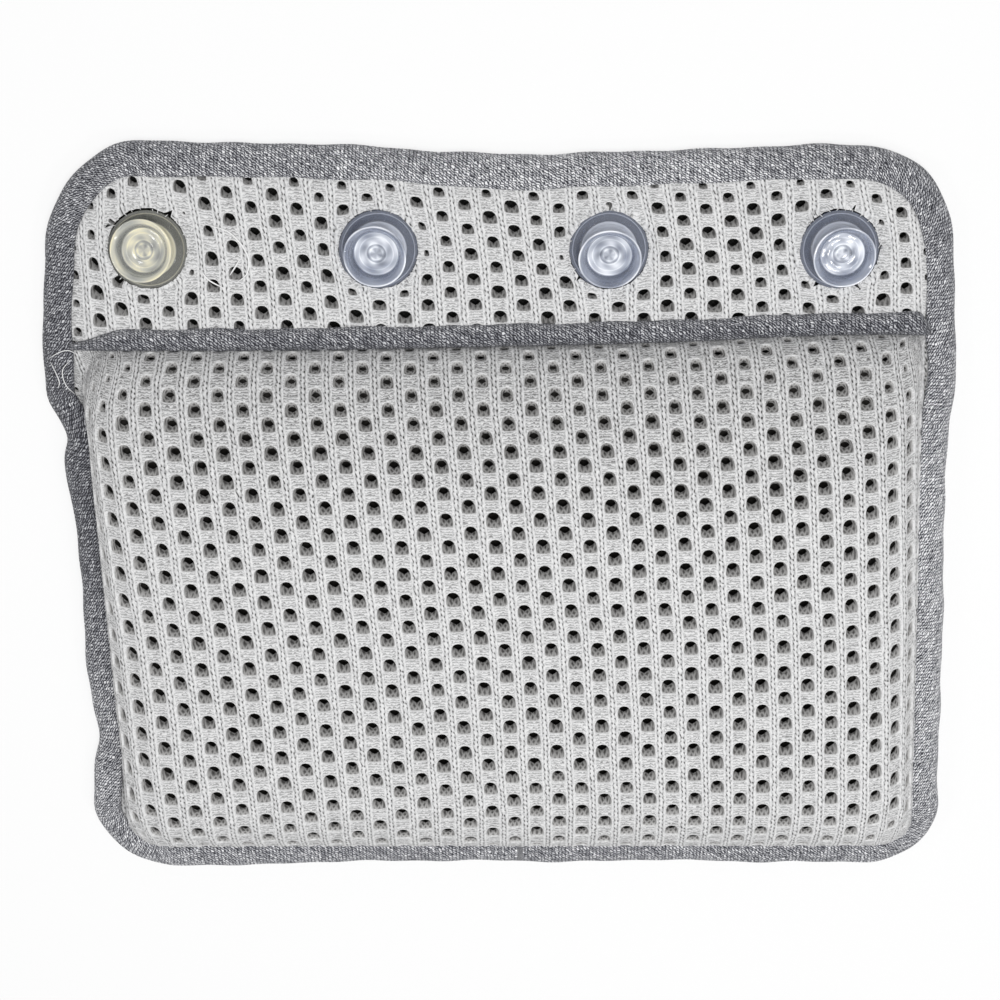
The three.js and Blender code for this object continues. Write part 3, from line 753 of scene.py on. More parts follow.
# %% How the knit lies on the cushion
CUSHION_LATTICE = {
    "origin": (-5.1, 1.75),
    "cells": (24, 18),
    "pitch": 9.48,
    "rise": 11.16,
    "row_turn": math.radians(0.67),
    "column_turn": math.radians(2.42),
    "hole": (5.6, 6.35),
    "throat": (-0.75, 1.45),
    "wall": 2.8,
    # Depth given to the throat: it sets how dark the painted shade of the walls gets there.
    "shade": 2.8,
}
CELL_MARGIN = 6.0
HEM_UNDER_TAPE = 8.2
HEM_OPENNESS, HEM_REACH = 0.35, (-3, 7)
TOP_DRAWN, TOP_DRAWN_REACH = 0.8, 50.0
CORNER_CROWDING, CORNER_REACH = 0.5, (12, 30)
HOLE_SPREAD = 0.03
CLOSING_START, CLOSING_REACH = -5.0, 120.0
# Painted shade on the slopes below the seam and above the bottom hem: how much the face is darkened, and over
# what distance it fades.
TOP_PAINTED_SHADE, TOP_PAINTED_SHADE_REACH = 0.17, 100.0
BOTTOM_PAINTED_SHADE, BOTTOM_PAINTED_SHADE_REACH = 0.11, 45.0
HEM_SQUEEZE, SQUEEZE_REACH = 0.2, (12, 62)


def sewn_inset(place):
    """Distance in from the hem, with the climb of the seam taken out."""
    return hem_inset(place[:, 0], place[:, 1] - seam_rise(*place.T))[0]


def on_cushion(place):
    return sewn_inset(place) > -HEM_UNDER_TAPE - CELL_MARGIN


def cushion_openness(place):
    """Share of its full size that a hole has: less at the hem, below the seam and in the corners."""
    inset, nx, ny = hem_inset(*place.T)
    at_hem = HEM_OPENNESS + (1 - HEM_OPENNESS) * smooth_step(*HEM_REACH, inset)
    drawn = TOP_DRAWN + (1 - TOP_DRAWN) * smooth_step(0, TOP_DRAWN_REACH, CLOTH_TOP_Y - place[:, 1])
    crowded = 2 * np.abs(nx * ny) * (1 - smooth_step(*CORNER_REACH, inset))
    return at_hem * drawn * (1 - CORNER_CROWDING * crowded) * rng.normal(1, HOLE_SPREAD, len(place))


def cushion_closing(place):
    """The throats close where the knit is drawn tight over the slope below the seam."""
    return 1 - np.clip((CLOTH_TOP_Y - place[:, 1] - CLOSING_START) / CLOSING_REACH, 0, 1)


def cushion_painted_slope_shade(place):
    """Painted shade on the top and bottom slopes: how much the face of the knit is darkened there."""
    top = TOP_PAINTED_SHADE * (1 - smooth_step(0, TOP_PAINTED_SHADE_REACH, CLOTH_TOP_Y - place[:, 1]))
    bottom = BOTTOM_PAINTED_SHADE * (1 - smooth_step(0, BOTTOM_PAINTED_SHADE_REACH, place[:, 1] - CLOTH_BOTTOM_Y))
    return np.repeat((top + bottom)[:, None], 3, 1)


def cushion_squeeze(inset):
    """Share of the knit's thickness that is left: sewing and the bend of the shoulder press it flat."""
    return HEM_SQUEEZE + (1 - HEM_SQUEEZE) * smooth_step(*SQUEEZE_REACH, inset)


# %% Fabric out of true
PULL_HALF_WIDTH, PULL_HALF_HEIGHT = 170.0, 120.0


def pulled(place, middle_y, half_height, terms_x, terms_y):
    """Fabric drawn out of true. A term is a pull in millimetres and its powers across and up the fabric."""
    u, v = place[:, 0] / PULL_HALF_WIDTH, (place[:, 1] - middle_y) / half_height
    pulls = [sum(size * u ** across * v ** up for size, across, up in terms) for terms in (terms_x, terms_y)]
    return place + np.stack(pulls, 1)


def wander(place, size, seed):
    """A slow drift of the fabric, so that rows aren't ruler straight."""
    x, y = place.T
    drift_x = sway(x + 0.6 * y, (47, 83), seed) + sway(y, (38, 71), seed + 1)
    drift_y = sway(y - 0.5 * x, (53, 91), seed + 2) + sway(x, (41, 67), seed + 3)
    return place + size * np.stack([drift_x, drift_y], 1) / 2


# %% Cushion cover in knit
CUSHION_PULL_X = [(-0.55, 0, 2), (1.8, 0, 3), (0.3, 1, 1), (-0.7, 3, 0)]
CUSHION_PULL_Y = [(-0.3, 2, 0), (1.05, 3, 0), (-1.6, 1, 1), (2.7, 0, 3), (3.6, 2, 1)]
SIDE_PULL, SIDE_PULL_START = 0.0044, 143.0
HEM_UNDER_SEAM = 3.0
HEM_FROM_EDGE = 5.0
FACE_DEPTH = 1.0
place, height, pattern, faces = knit_cells(CUSHION_LATTICE, on_cushion, cushion_openness, cushion_closing)
at_side = np.clip(np.abs(place[:, 0]) - SIDE_PULL_START, 0, None)
place = pulled(place, 0, PULL_HALF_HEIGHT, CUSHION_PULL_X, CUSHION_PULL_Y)
place[:, 1] += SIDE_PULL * at_side ** 2
place = wander(place, size=0.25, seed=11)
limit_y = CLOTH_TOP_Y + HEM_UNDER_SEAM + through(SEAM_RISE, place[:, 0])
place[:, 1] = np.minimum(place[:, 1], limit_y)
inset = sewn_inset(place)
squeezed = (height + FACE_DEPTH) * cushion_squeeze(inset) - FACE_DEPTH
height = np.where(height < -FACE_DEPTH, squeezed, height)
points = padded_surface(*place.T) + height[:, None] * outward(padded_surface, *place.T)
from_edge = edge_inset(*cushion_plan(*place.T)[:2])
used, faces = drop_faces(points, faces, (inset > -HEM_UNDER_TAPE) & (from_edge > HEM_FROM_EDGE))
# The drawn pattern carries the painted shade of the slopes.
patterns = {"knit": pattern[used], "drawn": cushion_painted_slope_shade(place[used])}
cover = make_piece("cushion_mesh_cover", points[used], faces, knit_material, patterns)
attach(cover, "cushion")
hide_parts("cushion_cover")

# %% [markdown]
# ## Filling
# Through the holes the padding shows only as black. It is a dark open foam block that follows the
# cover from inside, so its top is the same grid moved in by the thickness of the knit.

# %% Material and block of the filling
FOAM_CELL = 1.5
CUSHION_THICKNESS = 7.0
FILL_GAP = 0.6
FILL_HEM = 9
FILL_LEAST_Z, FILL_FLOOR_Z = BACK_Z + 1, BACK_Z + 0.2


def dark_foam():
    """Reticulated polyurethane foam: open cells, about 1.5 mm, that swallow most light."""
    material, tree, shader = new_material("reticulated_dark_foam")
    where = add_node(tree, "TexCoord").outputs["Object"]
    cells = add_node(tree, "TexVoronoi", {"Vector": where, "Scale": 1 / (FOAM_CELL * MM)})
    colour = add_node(tree, "ValToRGB", {0: cells.outputs["Distance"]})
    colour.color_ramp.elements[0].color = linear("0e0d0c")
    colour.color_ramp.elements[1].color = linear("2b2927")
    set_inputs(tree, shader, {"Base Color": colour, "Roughness": 0.95})
    return material


def add_walls(shape):
    """Walls from the rim of the block down to the back cloth, and a bottom."""
    for part in bmesh.ops.extrude_edge_only(shape, edges=open_edges(shape))["geom"]:
        if isinstance(part, bmesh.types.BMVert):
            part.co.z = FILL_FLOOR_Z * MM
    bmesh.ops.holes_fill(shape, edges=open_edges(shape))


fill_depth = CUSHION_THICKNESS * cushion_squeeze(grid_inset) + FILL_GAP
fill_points = padded_surface(GX, GY) - fill_depth[:, None] * outward(padded_surface, GX, GY)
used, fill_faces = keep_faces(grid_faces, grid_inset > FILL_HEM)
fill_top = fill_points[used]
fill_top[:, 2] = np.maximum(fill_top[:, 2], FILL_LEAST_Z)
foam = make_piece("foam_filling", fill_top, fill_faces, dark_foam())
reshape(foam, add_walls)
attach(foam, "cushion")
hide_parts("cushion_filling")

# %% [markdown]
# ## Flap panel
# The flap is the same spacer knit lying flat, a little slacker than on the cushion, so its holes
# are closer together and less even. A round hole is cut for each cup: points inside the cut move
# out to its edge, which also crowds the yarns round it as a punched hole does.

# %% How the knit lies on the flap
FLAP_LATTICE = {
    "origin": (-11.75, 115.4),
    "cells": (24, 8),
    "pitch": 9.54,
    "rise": 9.95,
    "row_turn": math.radians(-1.05),
    "column_turn": math.radians(6.5),
    "hole": (5.9, 5.5),
    "throat": (-1.2, 1.05),
    "wall": 3.6,
    # Depth given to the throat: it sets how dark the painted shade of the walls gets there.
    "shade": 2.35,
}
CUT_RADIUS = 15.8
CELL_REACH = 7.3
FLAP_START_Y, FLAP_START_MARGIN = FOLD_Y - 5.5, 5.0
FLAP_UNDER_TAPE = 4.8
CUP_SHUT_IN, CUP_SHUT_OUT = 1.5, 5.0
FLAP_OPENNESS = 0.92
EDGE_SHUT, EDGE_SHUT_REACH = 0.4, (9, 24)
FLAP_HOLE_SPREAD = 0.08
LEAST_OPENNESS = 0.02
FLAP_LIFT, FLAP_SWAY = 0.3, 0.25
cup_middles = np.array([cup[:2] for cup in CUP_PLACES])


def from_cups(place):
    """Distance and direction from the nearest cup."""
    offsets = place[:, None] - cup_middles[None]
    distances = np.linalg.norm(offsets, axis=2)
    nearest = distances.argmin(1)
    row = np.arange(len(place))
    distance = distances[row, nearest]
    return distance, offsets[row, nearest] / np.maximum(distance, 1e-6)[:, None]


def on_flap(place):
    inside = edge_inset(*place.T) > FLAP_UNDER_TAPE - CELL_MARGIN
    above_fold = place[:, 1] > FLAP_START_Y - FLAP_START_MARGIN
    return inside & above_fold & (from_cups(place)[0] > CUT_RADIUS - CELL_REACH)


def flap_openness(place):
    """Share of its full size that a hole has: less round the cups and beside the tape."""
    near_cup = smooth_step(CUT_RADIUS - CUP_SHUT_IN, CUT_RADIUS + CUP_SHUT_OUT, from_cups(place)[0])
    near_edge = EDGE_SHUT * (1 - smooth_step(*EDGE_SHUT_REACH, edge_inset(*place.T)))
    uneven = rng.normal(1, FLAP_HOLE_SPREAD, len(place))
    return np.clip((FLAP_OPENNESS - near_edge) * near_cup * uneven, LEAST_OPENNESS, 1.0)


def flap_closing(place):
    """The flap isn't drawn tight, so its throats stay open."""
    return np.zeros(len(place))


def flap_surface(x, y):
    """Front of the flap: flat, and squeezed down towards the tape."""
    squeezed = 1 - smooth_step(TAPE_WIDTH - 3, TAPE_WIDTH + 9, edge_inset(x, y))
    z = MESH_Z + FLAP_LIFT - squeezed * (MESH_Z + FLAP_LIFT - HEM_Z)
    z = z + FLAP_SWAY * sway(x + 0.4 * y, (61, 97), seed=31)
    plan_x, plan_y = lie(x, y)
    return np.stack([plan_x, plan_y, z], -1)


# %% Knit of the flap
FLAP_PULL_X = [(1.0, 2, 0), (-1.45, 3, 0), (1.5, 4, 0), (-0.85, 1, 1), (-0.3, 0, 1), (-0.85, 0, 2),
               (1.2, 2, 1)]
FLAP_PULL_Y = [(2.6, 2, 0), (-1.1, 4, 0), (-3.0, 5, 0), (-1.9, 1, 1), (-0.8, 0, 2), (1.5, 2, 1)]
FLAP_MIDDLE_Y, FLAP_HALF_HEIGHT = 118.0, 30.0
CUT_RAGGED = 0.12
CROWD_SIZE, CROWD_REACH = 2.2, 7.0
FLAP_SQUEEZE, FLAP_SQUEEZE_REACH = 0.45, (4, 20)
place, height, pattern, faces = knit_cells(FLAP_LATTICE, on_flap, flap_openness, flap_closing)
place = pulled(place, FLAP_MIDDLE_Y, FLAP_HALF_HEIGHT, FLAP_PULL_X, FLAP_PULL_Y)
place = wander(place, size=0.4, seed=21)
distance, direction = from_cups(place)
faces = faces[~(distance < CUT_RADIUS)[faces].all(1)]
cut_edge = CUT_RADIUS + CUT_RAGGED * rng.standard_normal(len(place))
crowd = CROWD_SIZE * np.exp(-(distance - CUT_RADIUS) / CROWD_REACH)
crowd = np.where(distance < cut_edge, cut_edge - distance, crowd)
place = place + direction * np.maximum(crowd, 0)[:, None]
place[:, 1] = np.maximum(place[:, 1], FLAP_START_Y + through(SEAM_RISE, place[:, 0]))
from_edge = edge_inset(*place.T)
squeeze = FLAP_SQUEEZE + (1 - FLAP_SQUEEZE) * smooth_step(*FLAP_SQUEEZE_REACH, from_edge)
height = np.where(height < -FACE_DEPTH, height * squeeze, height)
points = flap_surface(*place.T)
points[:, 2] += height
used, faces = drop_faces(points, faces, from_edge > FLAP_UNDER_TAPE)

# %% Yarns as thin tubes
YARN_SIDES = 5
YARN_TIP, YARN_LEAST = 0.08, 0.05


def yarn(path, radius):
    """Points and faces of a yarn along a path, narrowed to its two ends."""
    path = np.asarray(path, float)
    heading = np.gradient(path, axis=0)
    heading /= np.linalg.norm(heading, axis=1, keepdims=True)
    side = np.cross(heading, (0.0, 0.0, 1.0))
    side /= np.linalg.norm(side, axis=1, keepdims=True)
    up = np.cross(side, heading)
    turn = np.linspace(0, 2 * math.pi, YARN_SIDES, endpoint=False)[None, :, None]
    swell_along = np.sin(np.linspace(YARN_TIP, math.pi - YARN_TIP, len(path)))
    thick = radius * np.sqrt(np.clip(swell_along, YARN_LEAST, 1))[:, None, None]
    rings = path[:, None] + thick * (np.cos(turn) * side[:, None] + np.sin(turn) * up[:, None])
    return rings.reshape(-1, 3), strip_faces(len(path), YARN_SIDES, False, True)


def yarns(paths, radius):
    """Many yarns as one list of points and one of faces."""
    points, faces, count = [], [], 0
    for path in paths:
        more, quads = yarn(path, radius)
        points.append(more)
        faces.append(quads + count)
        count += len(more)
    return np.concatenate(points), np.concatenate(faces)


# %% Cut yarn ends and the whole panel
CUT_ENDS, CUT_END_RADIUS = 30, 0.17
CUT_END_START, CUT_END_LIFT = 0.9, 0.35
# Cut ends get a depth just short of a hole's mouth, so the knit material paints its lip highlight on them at
# half strength.
BRIGHT_YARN = (0.0, 0.0, -0.1)


def cut_yarn_ends(middle):
    """Short yarn ends that stick out over the flange where the knit was cut."""
    paths = []
    angles = np.linspace(0, 2 * math.pi, CUT_ENDS, endpoint=False) + rng.normal(0, 0.05, CUT_ENDS)
    for angle in angles:
        length, slew, droop = rng.uniform(0.4, 1.6), rng.normal(0, 0.06), rng.uniform(-0.5, 0.2)
        t = np.linspace(0, 1, 5)
        reach = CUT_RADIUS + CUT_END_START - length * t
        turn = angle + slew * t
        height = MESH_Z + CUT_END_LIFT + droop * t ** 2
        x, y = middle[0] + reach * np.cos(turn), middle[1] + reach * np.sin(turn)
        paths.append(np.stack([x, y, height], 1))
    return paths


cut_paths = [path for middle in cup_middles for path in cut_yarn_ends(middle)]
end_points, end_faces = yarns(cut_paths, CUT_END_RADIUS)
panel_points = np.concatenate([points[used], end_points])
panel_faces = np.concatenate([faces, end_faces + len(used)])
panel_pattern = np.concatenate([pattern[used], np.tile(BRIGHT_YARN, (len(end_points), 1))])
flap = make_piece("flap_mesh_panel", panel_points, panel_faces, knit_material, {"knit": panel_pattern})
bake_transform(flap)
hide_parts("flap_mesh")

# %% [markdown]
# ## Knit tape
# The edge tape is a soft rib-knit strip in a grey heather: light and dark fibres are spun together,
# so every stitch has its own shade. Stitches are short slanted strokes, 1.1 mm apart, in columns
# 1.5 mm wide that run across the tape. That is a little coarser than life, so that they show. The
# shade of a stitch comes from noise on the number of its column and row. A third number on the tape
# adds painted light and shade: the edge tape is drawn darker along the left side and lighter on the
# right, and the seam tape lighter on its upper side and darker at its lower edge.

# %% Stitches of the tape
WALE, COURSE = 1.5, 1.1
STROKE_SLANT = 0.9
WOBBLES_PER_MM, SLUBS_PER_MM, STREAKS_PER_MM = 0.45, 0.9, 0.3
SLUB = 0.8
STITCH_RELIEF = 0.35


def tape_stitches(tree, place, along, across):
    """Column and slanted row of each place on the tape, and the ridge of its stitch."""
    wobble = add_node(tree, "TexNoise", {"Vector": place, "Scale": WOBBLES_PER_MM, "Detail": 2.0})
    wobble = wobble.outputs["Fac"]
    slub = add_node(tree, "TexNoise", {"Vector": place, "Scale": SLUBS_PER_MM}).outputs["Fac"]
    column = add_node(tree, "Math", {0: along, 1: 1 / WALE, 2: wobble}, operation="MULTIPLY_ADD")
    row = add_node(tree, "Math", {0: across, 1: 1 / COURSE, 2: wobble}, operation="MULTIPLY_ADD")
    uneven = add_node(tree, "Math", {0: slub, 1: SLUB, 2: row}, operation="MULTIPLY_ADD")
    slanted = add_node(tree, "Math", {0: column, 1: STROKE_SLANT, 2: uneven}, operation="MULTIPLY_ADD")
    in_row = add_node(tree, "Math", {0: slanted, 1: math.pi}, operation="MULTIPLY")
    wave = add_node(tree, "Math", {0: in_row}, operation="SINE")
    return column, slanted, add_node(tree, "Math", {0: wave}, operation="ABSOLUTE")


def stitch_shades(tree, place, column, slanted):
    """Shade of each stitch: a shade of its own mixed with streaks of the spun fibre."""
    column_number = add_node(tree, "Math", {0: column}, operation="FLOOR")
    row_number = add_node(tree, "Math", {0: slanted}, operation="FLOOR")
    stitch = add_node(tree, "CombineXYZ", {0: column_number, 1: row_number})
    shade = add_node(tree, "TexWhiteNoise", {"Vector": stitch})
    streak = add_node(tree, "TexNoise", {"Vector": place, "Scale": STREAKS_PER_MM, "Detail": 4.0,
                                         "Roughness": 0.7})
    fibre = add_node(tree, "Mix", {"Factor": 0.6, 2: shade, 3: streak.outputs["Fac"]})
    return add_node(tree, "MapRange", {0: fibre, 1: 0.1, 2: 0.9, 3: 0.05, 4: 0.8})


# %% Material: heather knit tape
def heather_knit():
    """Soft knit of mixed light and dark fibres: matt, with a faint sheen from its loose ends."""
    material, tree, shader = new_material("heather_rib_knit_tape")
    place = add_node(tree, "Attribute", attribute_name="tape").outputs["Vector"]
    along, across, tone_and_painted_light = add_node(tree, "SeparateXYZ", {0: place}).outputs
    column, slanted, ridge = tape_stitches(tree, place, along, across)
    heather = stitch_shades(tree, place, column, slanted)
    groove = add_node(tree, "MapRange", {0: ridge, 1: 0.15, 2: 0.95, 3: -0.55, 4: 0.36})
    in_column = add_node(tree, "Math", {0: column, 1: math.pi}, operation="MULTIPLY")
    column_wave = add_node(tree, "Math", {0: in_column}, operation="SINE")
    column_size = add_node(tree, "Math", {0: column_wave}, operation="ABSOLUTE")
    gap = add_node(tree, "MapRange", {0: column_size, 1: 0.1, 2: 0.6, 3: -0.34, 4: 0.1})
    woolly = add_node(tree, "Math", {0: heather, 1: gap}, operation="ADD")
    spun = add_node(tree, "Math", {0: woolly, 1: groove}, operation="ADD")
    # Painted light and shade from the tape's third number is added to the stitch shades here.
    lit = add_node(tree, "Math", {0: spun, 1: tone_and_painted_light}, operation="ADD")
    colour = add_node(tree, "ValToRGB", {0: lit})
    ramp = colour.color_ramp.elements
    ramp[0].color, ramp[1].color = linear("2a2b30"), linear("f7f7f9")
    ramp.new(0.3).color = linear("5f6067")
    ramp.new(0.55).color = linear("909197")
    ramp.new(0.8).color = linear("cccdd1")
    bump = add_node(tree, "Bump", {"Height": ridge, "Strength": 0.8, "Distance": STITCH_RELIEF * MM})
    set_inputs(tree, shader, {"Base Color": colour, "Normal": bump, "Roughness": 0.9, "Sheen Weight": 0.1})
    return material


tape_material = heather_knit()
print("made", tape_material.name)

# %% [markdown]
# ## Edge binding
# One strip of tape is folded over the raw edges of mesh and back cloth all the way round, so it is
# modelled as one piece: a U section carried round the outline.

# %% Edge binding
# Each pair is a share of the tape's width in from the edge, and a height.
TAPE_SECTION = np.array([
    (1.00, 0.15), (0.50, 0.0), (0.16, 0.1), (0.04, 1.2), (0.0, 3.4), (0.03, 5.8), (0.13, 7.9), (0.33, 9.5),
    (0.62, 10.2), (0.89, 10.2), (0.985, 9.5),
    (0.99, 8.5), (0.87, 8.6), (0.62, 9.0), (0.36, 8.4), (0.19, 7.1), (0.115, 5.6), (0.09, 3.4), (0.12, 1.8),
    (0.2, 1.15), (0.5, 1.1), (1.0, 1.2)])
TANGENT_REACH = 2
# Each pair is a place round the edge, and how much lighter the tape is drawn there: painted light
# and shade, darkest along the left side and lightest on the right.
EDGE_PAINTED_LIGHT = [(0, -0.02), (170, 0.01), (230, 0.11), (370, 0.07), (430, -0.07), (510, -0.04), (570, 0.07),
             (690, 0.02), (800, -0.08), (860, -0.17), (910, -0.24), (970, -0.22), (1060, 0.03), (1150, 0),
             (1290, -0.02)]
loop, stations = edge_loop(TAPE_STEP)
edge_line = np.stack(lie(*loop.T), 1)
tangent = np.roll(edge_line, -TANGENT_REACH, 0) - np.roll(edge_line, TANGENT_REACH, 0)
tangent /= np.linalg.norm(tangent, axis=1, keepdims=True)
inward = np.stack([-tangent[:, 1], tangent[:, 0]], 1)
width = TAPE_WIDTH + 0.5 * sway(stations, (63, 140, 37), seed=41)
lift = 1 + 0.035 * sway(stations, (29, 52, 88), seed=42)
out = 0.35 * sway(stations, (23, 46, 77), seed=43)
share, high = TAPE_SECTION.T
inset = share * width[:, None] - out[:, None] * (1 - share)
plan = edge_line[:, None] + inward[:, None] * inset[..., None]
rise = high * lift[:, None]
points = np.concatenate([plan, rise[..., None]], 2).reshape(-1, 3)
girth = np.append(0, np.cumsum(np.hypot(np.diff(share * TAPE_WIDTH), np.diff(high))))
tone_and_painted_light = np.repeat(through(EDGE_PAINTED_LIGHT, stations), len(girth))
pattern = np.stack([np.repeat(stations, len(girth)), np.tile(girth, len(stations)), tone_and_painted_light], 1)
faces = strip_faces(len(stations), len(girth), True, True)[:, ::-1]
binding = make_piece("edge_binding", points, faces, tape_material, {"tape": pattern})
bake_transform(binding)
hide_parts("cushion_binding", "flap_binding")

# %% [markdown]
# ## Loose threads
# A few pale sewing threads lie loose beside the first cup and over the left tape by the fold. Each
# is a thin yarn along a handful of points, smoothed by reading a curve through them.

# %% Loose threads
FLAP_THREADS = [
    [(-114.5, 126.8), (-107.5, 124.6), (-102.2, 119.3), (-99.6, 113.3), (-100.6, 107.6), (-104.3, 104.2)],
    [(-107.4, 106.9), (-105, 110.5), (-103.4, 113)],
    [(-118.8, 108.7), (-115.5, 105), (-110.1, 101.8)]]
SIDE_THREADS = [
    [(-181.5, 73), (-177, 75.6), (-173.3, 76.3), (-170, 74.5)],
    [(-172.8, 72.5), (-176.3, 68), (-175.4, 62.2), (-172, 58)],
    [(-181, 71.5), (-178, 64), (-178.6, 60.5)]]
FLAP_THREAD_RADIUS, SIDE_THREAD_RADIUS = 0.34, 0.2
FLAP_THREAD_Z, SIDE_THREAD_Z = MESH_Z + 1.2, MESH_Z + 1.1
THREAD_LIFT = 0.6
POINTS_PER_KNOT = 10


def bright_thread():
    """Spun polyester sewing thread, bleached white and a little shiny."""
    material, tree, shader = new_material("white_sewing_thread")
    set_inputs(tree, shader, {"Base Color": linear("fbfbfb"), "Roughness": 0.5})
    return material


def thread_path(knots, height):
    """A smooth line through plan points, lifted a little in its middle."""
    knots = np.array(knots, float)
    number = np.arange(len(knots))
    t = np.linspace(0, len(knots) - 1, POINTS_PER_KNOT * len(knots))
    x, y = [through(np.stack([number, knots[:, axis]], 1), t) for axis in (0, 1)]
    return np.stack([x, y, height + THREAD_LIFT * np.sin(math.pi * t / t[-1])], 1)


thread_material = bright_thread()
for name, knot_lists, height, radius, body in (
        ("flap_threads", FLAP_THREADS, FLAP_THREAD_Z, FLAP_THREAD_RADIUS, "flap"),
        ("side_threads", SIDE_THREADS, SIDE_THREAD_Z, SIDE_THREAD_RADIUS, "cushion")):
    points, faces = yarns([thread_path(knots, height) for knots in knot_lists], radius)
    threads = make_piece(name, points, faces, thread_material)
    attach(threads, body)

# %% [markdown]
# ## Seam tape
# The raw top edge of the cushion is bound too, and stands up as a low ridge across the flap. It is
# a padded strip with a domed section that dips under the side tape at both ends. It lies on the
# fold.

# %% Seam tape
SEAM_LINE = [(-172, 0.4), (-150, 0), (-80, 0.2), (-10, 0.6), (56, 0.4), (148, 0), (172, 0.2)]
SEAM_HALF_LENGTH, SEAM_TAPER_FROM = 172, 174
SEAM_STEP = 2.0
SEAM_SIDES, SEAM_ROUNDNESS = 20, 0.8
SEAM_WIDTH = 9.4
SEAM_RISE_Z, SEAM_DROP_Z = 4.6, 1.2
SEAM_FOOT_Y, SEAM_FOOT_Z = FOOT_TOP_Y - 1.2, MESH_Z - 0.6
# SEAM_TONE draws the whole seam tape darker. The second number is painted light and shade: the upper side of
# the seam tape is drawn lighter and its lower edge darker.
SEAM_TONE, SEAM_PAINTED_SHADE = -0.2, 0.12
SEAM_TAPER_LEFT, SEAM_TAPER_RIGHT = 24.0, 7.0
SEAM_END_WIDTH, SEAM_END_RISE = 0.25, 0.35
OTHER_STITCHES = 40
seam_x = np.arange(-SEAM_HALF_LENGTH, SEAM_HALF_LENGTH + SEAM_STEP, SEAM_STEP)
lower_y = SEAM_FOOT_Y + through(SEAM_RISE, seam_x) + through(SEAM_LINE, seam_x)
full = np.where(seam_x < 0, smooth_step(0, SEAM_TAPER_LEFT, SEAM_TAPER_FROM + seam_x),
                smooth_step(0, SEAM_TAPER_RIGHT, SEAM_TAPER_FROM - seam_x))
turn = np.linspace(0, 2 * math.pi, SEAM_SIDES, endpoint=False)
section_y = 0.5 - 0.5 * np.sign(np.cos(turn)) * np.abs(np.cos(turn)) ** SEAM_ROUNDNESS
section_z = np.sign(np.sin(turn)) * np.abs(np.sin(turn)) ** SEAM_ROUNDNESS
seam_width = SEAM_WIDTH * (SEAM_END_WIDTH + (1 - SEAM_END_WIDTH) * full)
seam_width = seam_width + 0.35 * sway(seam_x, (31, 57), seed=51)
seam_high = SEAM_RISE_Z * (SEAM_END_RISE + (1 - SEAM_END_RISE) * full)
seam_high = seam_high * (1 + 0.06 * sway(seam_x, (26, 49), seed=52))
y = lower_y[:, None] + section_y * seam_width[:, None]
z = SEAM_FOOT_Z + section_z * np.where(section_z > 0, seam_high[:, None], SEAM_DROP_Z)
x = np.repeat(seam_x[:, None], SEAM_SIDES, 1)
plan_x, plan_y = lie(x, y)
points = np.stack([plan_x, plan_y, z], 2).reshape(-1, 3)
girth = np.tile(turn * SEAM_WIDTH / 2, len(seam_x)) + OTHER_STITCHES
# Painted light on the upper side of the seam tape and painted shade on its lower edge.
tone_and_painted_light = np.tile(SEAM_TONE + SEAM_PAINTED_SHADE * (2 * section_y - 1), len(seam_x))
pattern = np.stack([x.ravel(), girth, tone_and_painted_light], 1)
faces = strip_faces(len(seam_x), SEAM_SIDES, False, True)
seam = make_piece("seam_tape", points, faces, tape_material, {"tape": pattern})
reshape(seam, lambda shape: bmesh.ops.holes_fill(shape, edges=open_edges(shape)))
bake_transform(seam)
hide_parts("seam_binding")

# %% [markdown]
# ## Back cloth
# The back is one plain dark woven cloth, tucked into the tape. It is a thin closed sheet with slow
# ripples.

# %% Material: dark woven polyester
WEAVE_THREAD = 0.8
WEAVE_RELIEF = 0.15


def dark_weave():
    """Plain-woven polyester: warp and weft threads 0.8 mm apart, drawn coarser than life so they show."""
    material, tree, shader = new_material("plain_woven_dark_polyester")
    where = add_node(tree, "TexCoord").outputs["Object"]
    axes = add_node(tree, "SeparateXYZ", {0: where})
    pace = 2 * math.pi / (WEAVE_THREAD * 2 * MM)
    turns = [add_node(tree, "Math", {0: axes.outputs[i], 1: pace}, operation="MULTIPLY") for i in (0, 1)]
    warp, weft = [add_node(tree, "Math", {0: turn}, operation="SINE") for turn in turns]
    over = add_node(tree, "Math", {0: warp, 1: weft}, operation="MULTIPLY")
    height = add_node(tree, "MapRange", {0: over, 1: -1.0, 2: 1.0})
    colour = add_node(tree, "ValToRGB", {0: height})
    colour.color_ramp.elements[0].color = linear("131312")
    colour.color_ramp.elements[1].color = linear("2e2e2d")
    bump = add_node(tree, "Bump", {"Height": height, "Strength": 0.5, "Distance": WEAVE_RELIEF * MM})
    set_inputs(tree, shader, {"Base Color": colour, "Normal": bump, "Roughness": 0.9})
    return material


weave_material = dark_weave()
print("made", weave_material.name)

# %% Back cloth
BACK_STEP = 5.0
BACK_INSET = 2.6
BACK_THICKNESS = 0.8
BACK_RIPPLE, BACK_LEAST_Z, BACK_TUCKED_Z = 0.35, 0.05, 1.4
back_x = np.arange(-HALF_WIDTH, HALF_WIDTH + BACK_STEP, BACK_STEP)
back_y = np.arange(BOTTOM_Y, TOP_Y + BACK_STEP, BACK_STEP)
BX, BY = [part.ravel() for part in np.meshgrid(back_x, back_y)]
used, faces = keep_faces(strip_faces(len(back_y), len(back_x)), edge_inset(BX, BY) > BACK_INSET)
BX, BY = BX[used], BY[used]
tucked = 1 - smooth_step(TAPE_WIDTH - 1, TAPE_WIDTH + 6, edge_inset(BX, BY))
waves = sway(BX + 0.3 * BY, (44, 73), seed=61) + sway(BY - 0.4 * BX, (39, 81), seed=62)
ripple = np.maximum(BACK_RIPPLE * (1 + 0.5 * waves), BACK_LEAST_Z)
plan_x, plan_y = lie(BX, BY)
